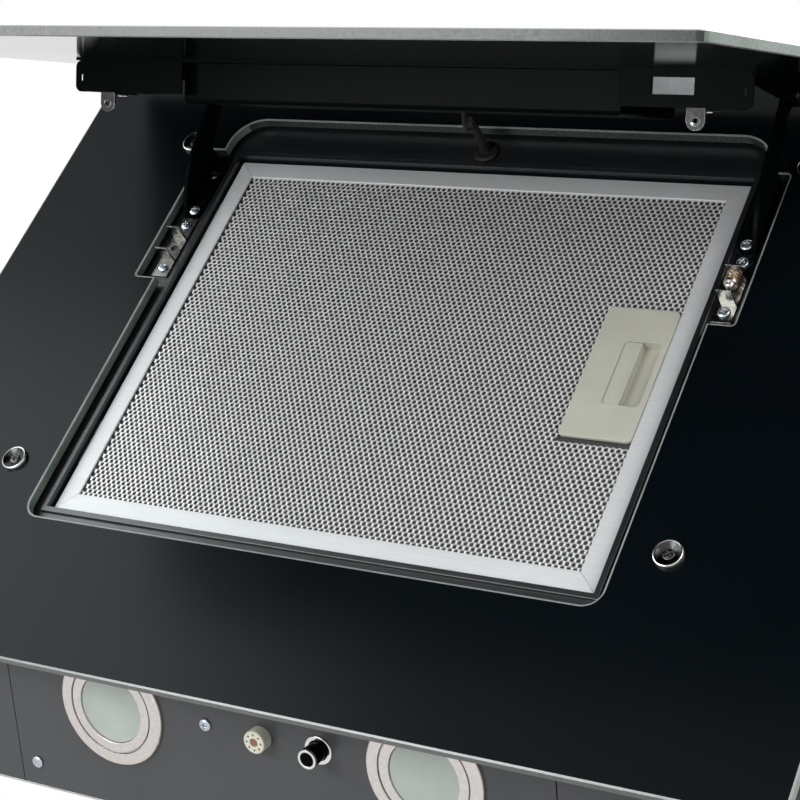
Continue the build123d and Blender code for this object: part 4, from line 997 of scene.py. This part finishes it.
def leadRoute(sizes):
    upDoor = Vector((0, math.sin(doorAngle), math.cos(doorAngle)))
    downDoor = Vector((0, -math.cos(doorAngle), math.sin(doorAngle)))
    hinge = Vector((sizes["caseX"], hingeUp, hingeOut))
    face = hinge + downDoor * sizes["caseDown"] + upDoor * sizes["caseFloor"]
    mouth = Vector((0, sizes["bootUp"], sizes["bootOut"]))
    start = face + upDoor * 1.5
    way = ((mouth - face).normalized() - upDoor).normalized()
    return [
        start,
        start + way * 16,
        start * 0.4 + mouth * 0.6 + way * 7,
        mouth + Vector((0, 0, 12)),
        mouth - Vector((0, 0, sizes["intoBoot"])),
    ]


def splinePoints(name, route, steps=16):
    # Points along a smooth curve that is drawn towards the route's points
    curve = bpy.data.curves.new(name, "CURVE")
    curve.dimensions = "3D"
    spline = curve.splines.new("NURBS")
    spline.points.add(len(route) - 1)
    for point, place in zip(spline.points, route):
        point.co = (*place, 1)
    spline.order_u = 3
    spline.use_endpoint_u = True
    spline.resolution_u = steps
    source = bpy.data.objects.new(name, curve)
    bpy.context.scene.collection.objects.link(source)
    graph = bpy.context.evaluated_depsgraph_get()
    line = bpy.data.meshes.new_from_object(source.evaluated_get(graph))
    places = [vertex.co.copy() for vertex in line.vertices]
    bpy.data.objects.remove(source)
    bpy.data.meshes.remove(line)
    return places


def tubeAlong(places, radius, sides):
    points, faces = [], []
    side = (places[1] - places[0]).orthogonal().normalized()
    for index, place in enumerate(places):
        before = places[max(index - 1, 0)]
        after = places[min(index + 1, len(places) - 1)]
        along = (after - before).normalized()
        side = (side - along * side.dot(along)).normalized()
        other = along.cross(side)
        for spoke in range(sides):
            turn = 2 * math.pi * spoke / sides
            points.append(place + (side * math.cos(turn) + other * math.sin(turn)) * radius)
    for index in range(len(places) - 1):
        for spoke in range(sides):
            after = (spoke + 1) % sides
            low, high = index * sides, (index + 1) * sides
            faces.append((low + spoke, low + after, high + after, high + spoke))
    faces.append(tuple(range(sides)))
    faces.append(tuple(range((len(places) - 1) * sides, len(places) * sides)))
    return points, faces


def doorLead(sizes):
    route = [slantFrame @ point for point in leadRoute(sizes)]
    places = splinePoints("doorLeadLine", route)
    points, faces = tubeAlong(places, sizes["radius"] * 0.001, sizes["sides"])
    obj = meshFrom("doorLead", points, faces, ["rubber"])
    smoothed(obj, 50)
    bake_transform(obj)
    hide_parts("door_lead")


doorLead(leadSizes)
print("lead made")

# The rest of the nodes, with rounded edges where they show
roundedNodes = [
    ("front_panel", "frontPanel", ["panelPaint"], 0.25),
    ("glass_seal", "glassSeal", ["foam"], 0.3),
    ("filter_bay", "filterBay", ["bayPaint"], 0.2),
    ("hinge_bracket_left", "hingeBracketLeft", ["satinBlack"], 0.4),
    ("hinge_bracket_right", "hingeBracketRight", ["satinBlack"], 0.4),
    ("hinge_pins", "hingePins", ["darkScrew"], 0.4),
    ("hinge_washers_and_clips", "hingeWashers", ["darkScrew"], 0.2),
    ("door_hinge_arms", "doorHingeArms", ["satinBlack"], 0.35),
    ("door_rail", "doorRail", ["satinBlack"], 0.3),
    ("rail_window_plate", "railWindowPlate", ["windowPlate"], 0.15),
    ("door_control_case", "doorControlCase", ["glossBlack"], 0.8),
    ("lug_rivets", "lugRivets", ["polishedSteel"], 0.3),
    ("catch_bracket_left", "catchBracketLeft", ["bracketSteel"], 0.2),
    ("catch_bracket_right", "catchBracketRight", ["bracketSteel"], 0.2),
    ("catch_plunger", "catchPlunger", ["satinNickel"], 0.2),
    ("lead_grommet", "leadGrommet", ["rubber"], 0.3),
    ("lamp_trim_rings", "lampTrimRings", ["satinNickel"], 0.3),
    ("lamp_inner_rings", "lampInnerRings", ["satinNickel"], 0.4),
    ("lamp_cans", "lampCans", ["galvanised"], 0.2),
    ("lamp_lenses", "lampLenses", ["lens"], 0.3),
    ("light_button", "lightButton", ["glossBlack"], 0.3),
    ("button_end_ring", "buttonEndRing", ["polishedSteel"], 0.2),
    ("button_bezel", "buttonBezel", ["polishedSteel"], 0.2),
    ("underside_panel", "undersidePanel", ["undersidePaint"], 0.2),
    ("underside_wings", "undersideWings", ["undersidePaint"], 0.2),
    ("side_panel_left", "sidePanelLeft", ["chimneyPaint"], 0.3),
    ("side_panel_right", "sidePanelRight", ["chimneyPaint"], 0.3),
    ("top_panel", "topPanel", ["galvanised"], 0.3),
    ("back_panel", "backPanel", ["galvanised"], 0.3),
    ("lower_chimney", "lowerChimney", ["chimneyPaint"], 0.4),
    ("upper_chimney", "upperChimney", ["chimneyPaint"], 0.3),
    ("chimney_bracket", "chimneyBracket", ["galvanised"], 0.3),
    ("control_box", "controlBox", ["blackPlastic"], 1.0),
    ("control_switches", "controlSwitches", ["blackPlastic"], 0.6),
    ("mains_gland", "mainsGland", ["blackPlastic"], 0.4),
    ("blower_housing", "blowerHousing", ["blackPlastic"], 0.5),
    ("blower_motor", "blowerMotor", ["motorPaint"], 0.6),
    ("outlet_collar", "outletCollar", ["blackPlastic"], 0.4),
    ("outlet_flap_front", "outletFlapFront", ["blackPlastic"], 0.3),
    ("outlet_flap_rear", "outletFlapRear", ["blackPlastic"], 0.3),
    ("impeller", "impellerWheel", ["blackPlastic"], 0.2),
    ("motor_shaft", "motorShaft", ["springSteel"], 0.4),
]
for node, name, materials, width in roundedNodes:
    softenedNode(node, name, materials, width)
# Painted highlight: the lugs' small faces under 8 mm², their rounded edges, get bright zinc and the
# broad faces dark steel, for a bright rim
lugFaceArea = 8e-6
softenedNode(
    "door_lugs", "doorLugs", ["lugSteel", "zinc"], 0.3, 2,
    lambda polygon: 0 if polygon.area > lugFaceArea else 1,
)

# Dial with its dark dots and its coloured middle
dialSizes = {"dotReach": 4.42, "dotRadius": 0.62, "dots": 8, "middle": 2.2, "recess": 0.2}
dialLow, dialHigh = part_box("speed_dial")
dialFoot = Vector(((dialLow.x + dialHigh.x) / 2, (dialLow.y + dialHigh.y) / 2, dialLow.z))


def dialPaint(polygon):
    place = (polygon.center - dialFoot) * 1000
    if place.z < dialSizes["recess"] or place.z > 1.0:
        return 0
    if place.xy.length < dialSizes["middle"]:
        return 2
    share = 2 * math.pi / dialSizes["dots"]
    turn = round(math.atan2(place.y, place.x) / share) * share
    dot = Vector((math.cos(turn), math.sin(turn))) * dialSizes["dotReach"]
    return 1 if (place.xy - dot).length < dialSizes["dotRadius"] else 0


softenedNode(
    "speed_dial", "speedDial", ["ivoryPlastic", "blackPlastic", "redPlastic"], 0.12, 2, dialPaint
)
print("nodes finished", len(roundedNodes) + 2)


# Camera, light and stage
cameraSizes = {
    "place": (0.5845, -0.5616, -0.9113),
    "right": (0.8574, 0.0787, 0.5085),
    "forward": (-0.5053, 0.3156, 0.8032),
    "focal": 2045.0, "pictureWidth": 800,  # both in pixels
    "sensor": 36,
}


def placeCamera(sizes):
    camera = bpy.data.cameras.new("camera")
    camera.sensor_width = sizes["sensor"]
    camera.sensor_fit = "HORIZONTAL"
    camera.lens = sizes["focal"] * sizes["sensor"] / sizes["pictureWidth"]
    obj = bpy.data.objects.new("camera", camera)
    right = Vector(sizes["right"]).normalized()
    back = -Vector(sizes["forward"]).normalized()
    up = back.cross(right).normalized()
    right = up.cross(back)
    turn = Matrix((right, up, back)).transposed().to_4x4()
    obj.matrix_world = Matrix.Translation(sizes["place"]) @ turn
    bpy.context.scene.collection.objects.link(obj)
    bpy.context.scene.camera = obj


def softbox(name, place, target, size, power, color=(1, 1, 1)):
    light = bpy.data.lights.new(name, "AREA")
    light.shape = "RECTANGLE"
    light.size, light.size_y = size
    light.energy = power
    light.color = color
    obj = bpy.data.objects.new(name, light)
    way = Vector(target) - Vector(place)
    obj.rotation_euler = way.to_track_quat("-Z", "Y").to_euler()
    obj.location = place
    bpy.context.scene.collection.objects.link(obj)


def seenRay(tree):
    # One where the camera sees the background, also in metal and through glass
    path = tree.nodes.new("ShaderNodeLightPath")
    total = path.outputs["Is Camera Ray"]
    for name in ("Is Glossy Ray", "Is Transmission Ray"):
        highest = tree.nodes.new("ShaderNodeMath")
        highest.operation = "MAXIMUM"
        tree.links.new(total, highest.inputs[0])
        tree.links.new(path.outputs[name], highest.inputs[1])
        total = highest.outputs[0]
    return total


def whiteSurround(worldStrength):
    world = bpy.data.worlds.new("surround")
    bpy.context.scene.world = world
    world.use_nodes = True
    tree = world.node_tree
    tree.nodes.clear()
    out = tree.nodes.new("ShaderNodeOutputWorld")
    mix = tree.nodes.new("ShaderNodeMixShader")
    seen = tree.nodes.new("ShaderNodeBackground")
    seen.inputs["Strength"].default_value = 1.0
    seen.inputs["Color"].default_value = (1, 1, 1, 1)
    light = tree.nodes.new("ShaderNodeBackground")
    light.inputs["Color"].default_value = (1, 1, 1, 1)
    light.inputs["Strength"].default_value = worldStrength
    tree.links.new(seenRay(tree), mix.inputs["Fac"])
    tree.links.new(light.outputs[0], mix.inputs[1])
    tree.links.new(seen.outputs[0], mix.inputs[2])
    tree.links.new(mix.outputs[0], out.inputs["Surface"])


def paleFloor(height, reach, glow):
    mesh = bpy.data.meshes.new("floor")
    corners = [(-reach, -reach), (reach, -reach), (reach, reach), (-reach, reach)]
    mesh.from_pydata([(x, y, height) for x, y in corners], [], [(0, 1, 2, 3)])
    floor = bpy.data.objects.new("floor", mesh)
    bpy.context.scene.collection.objects.link(floor)
    finish = Finish("floorFinish", (0.82, 0.82, 0.82), 0.8, specular=0.1)
    finish.shader.inputs["Emission Color"].default_value = (1, 1, 1, 1)
    lift = finish.add("ShaderNodeMath", operation="MULTIPLY")
    finish.join(seenRay(finish.tree), lift.inputs[0])
    lift.inputs[1].default_value = glow
    finish.join(lift.outputs[0], finish.shader.inputs["Emission Strength"])
    mesh.materials.append(finish.material)


placeCamera(cameraSizes)
hoodMiddle = (0.0, -0.25, 0.05)
softbox("sideLight", (-1.26, -1.25, -0.48), hoodMiddle, (1.0, 1.0), 12, (0.90, 0.97, 1.0))
softbox("lowLight", (-0.40, -0.60, -0.85), (-0.05, -0.2, -0.02), (0.5, 0.5), 5.5)
softbox("rightLight", (1.4, -1.4, -0.1), hoodMiddle, (1.2, 1.2), 16)
softbox("topLight", (0.3, -0.8, 1.8), hoodMiddle, (1.6, 1.6), 16)
whiteSurround(0.42)
paleFloor(-1.7, 40, 0.5)
bpy.context.scene.view_settings.view_transform = "Standard"
print("camera and light set")
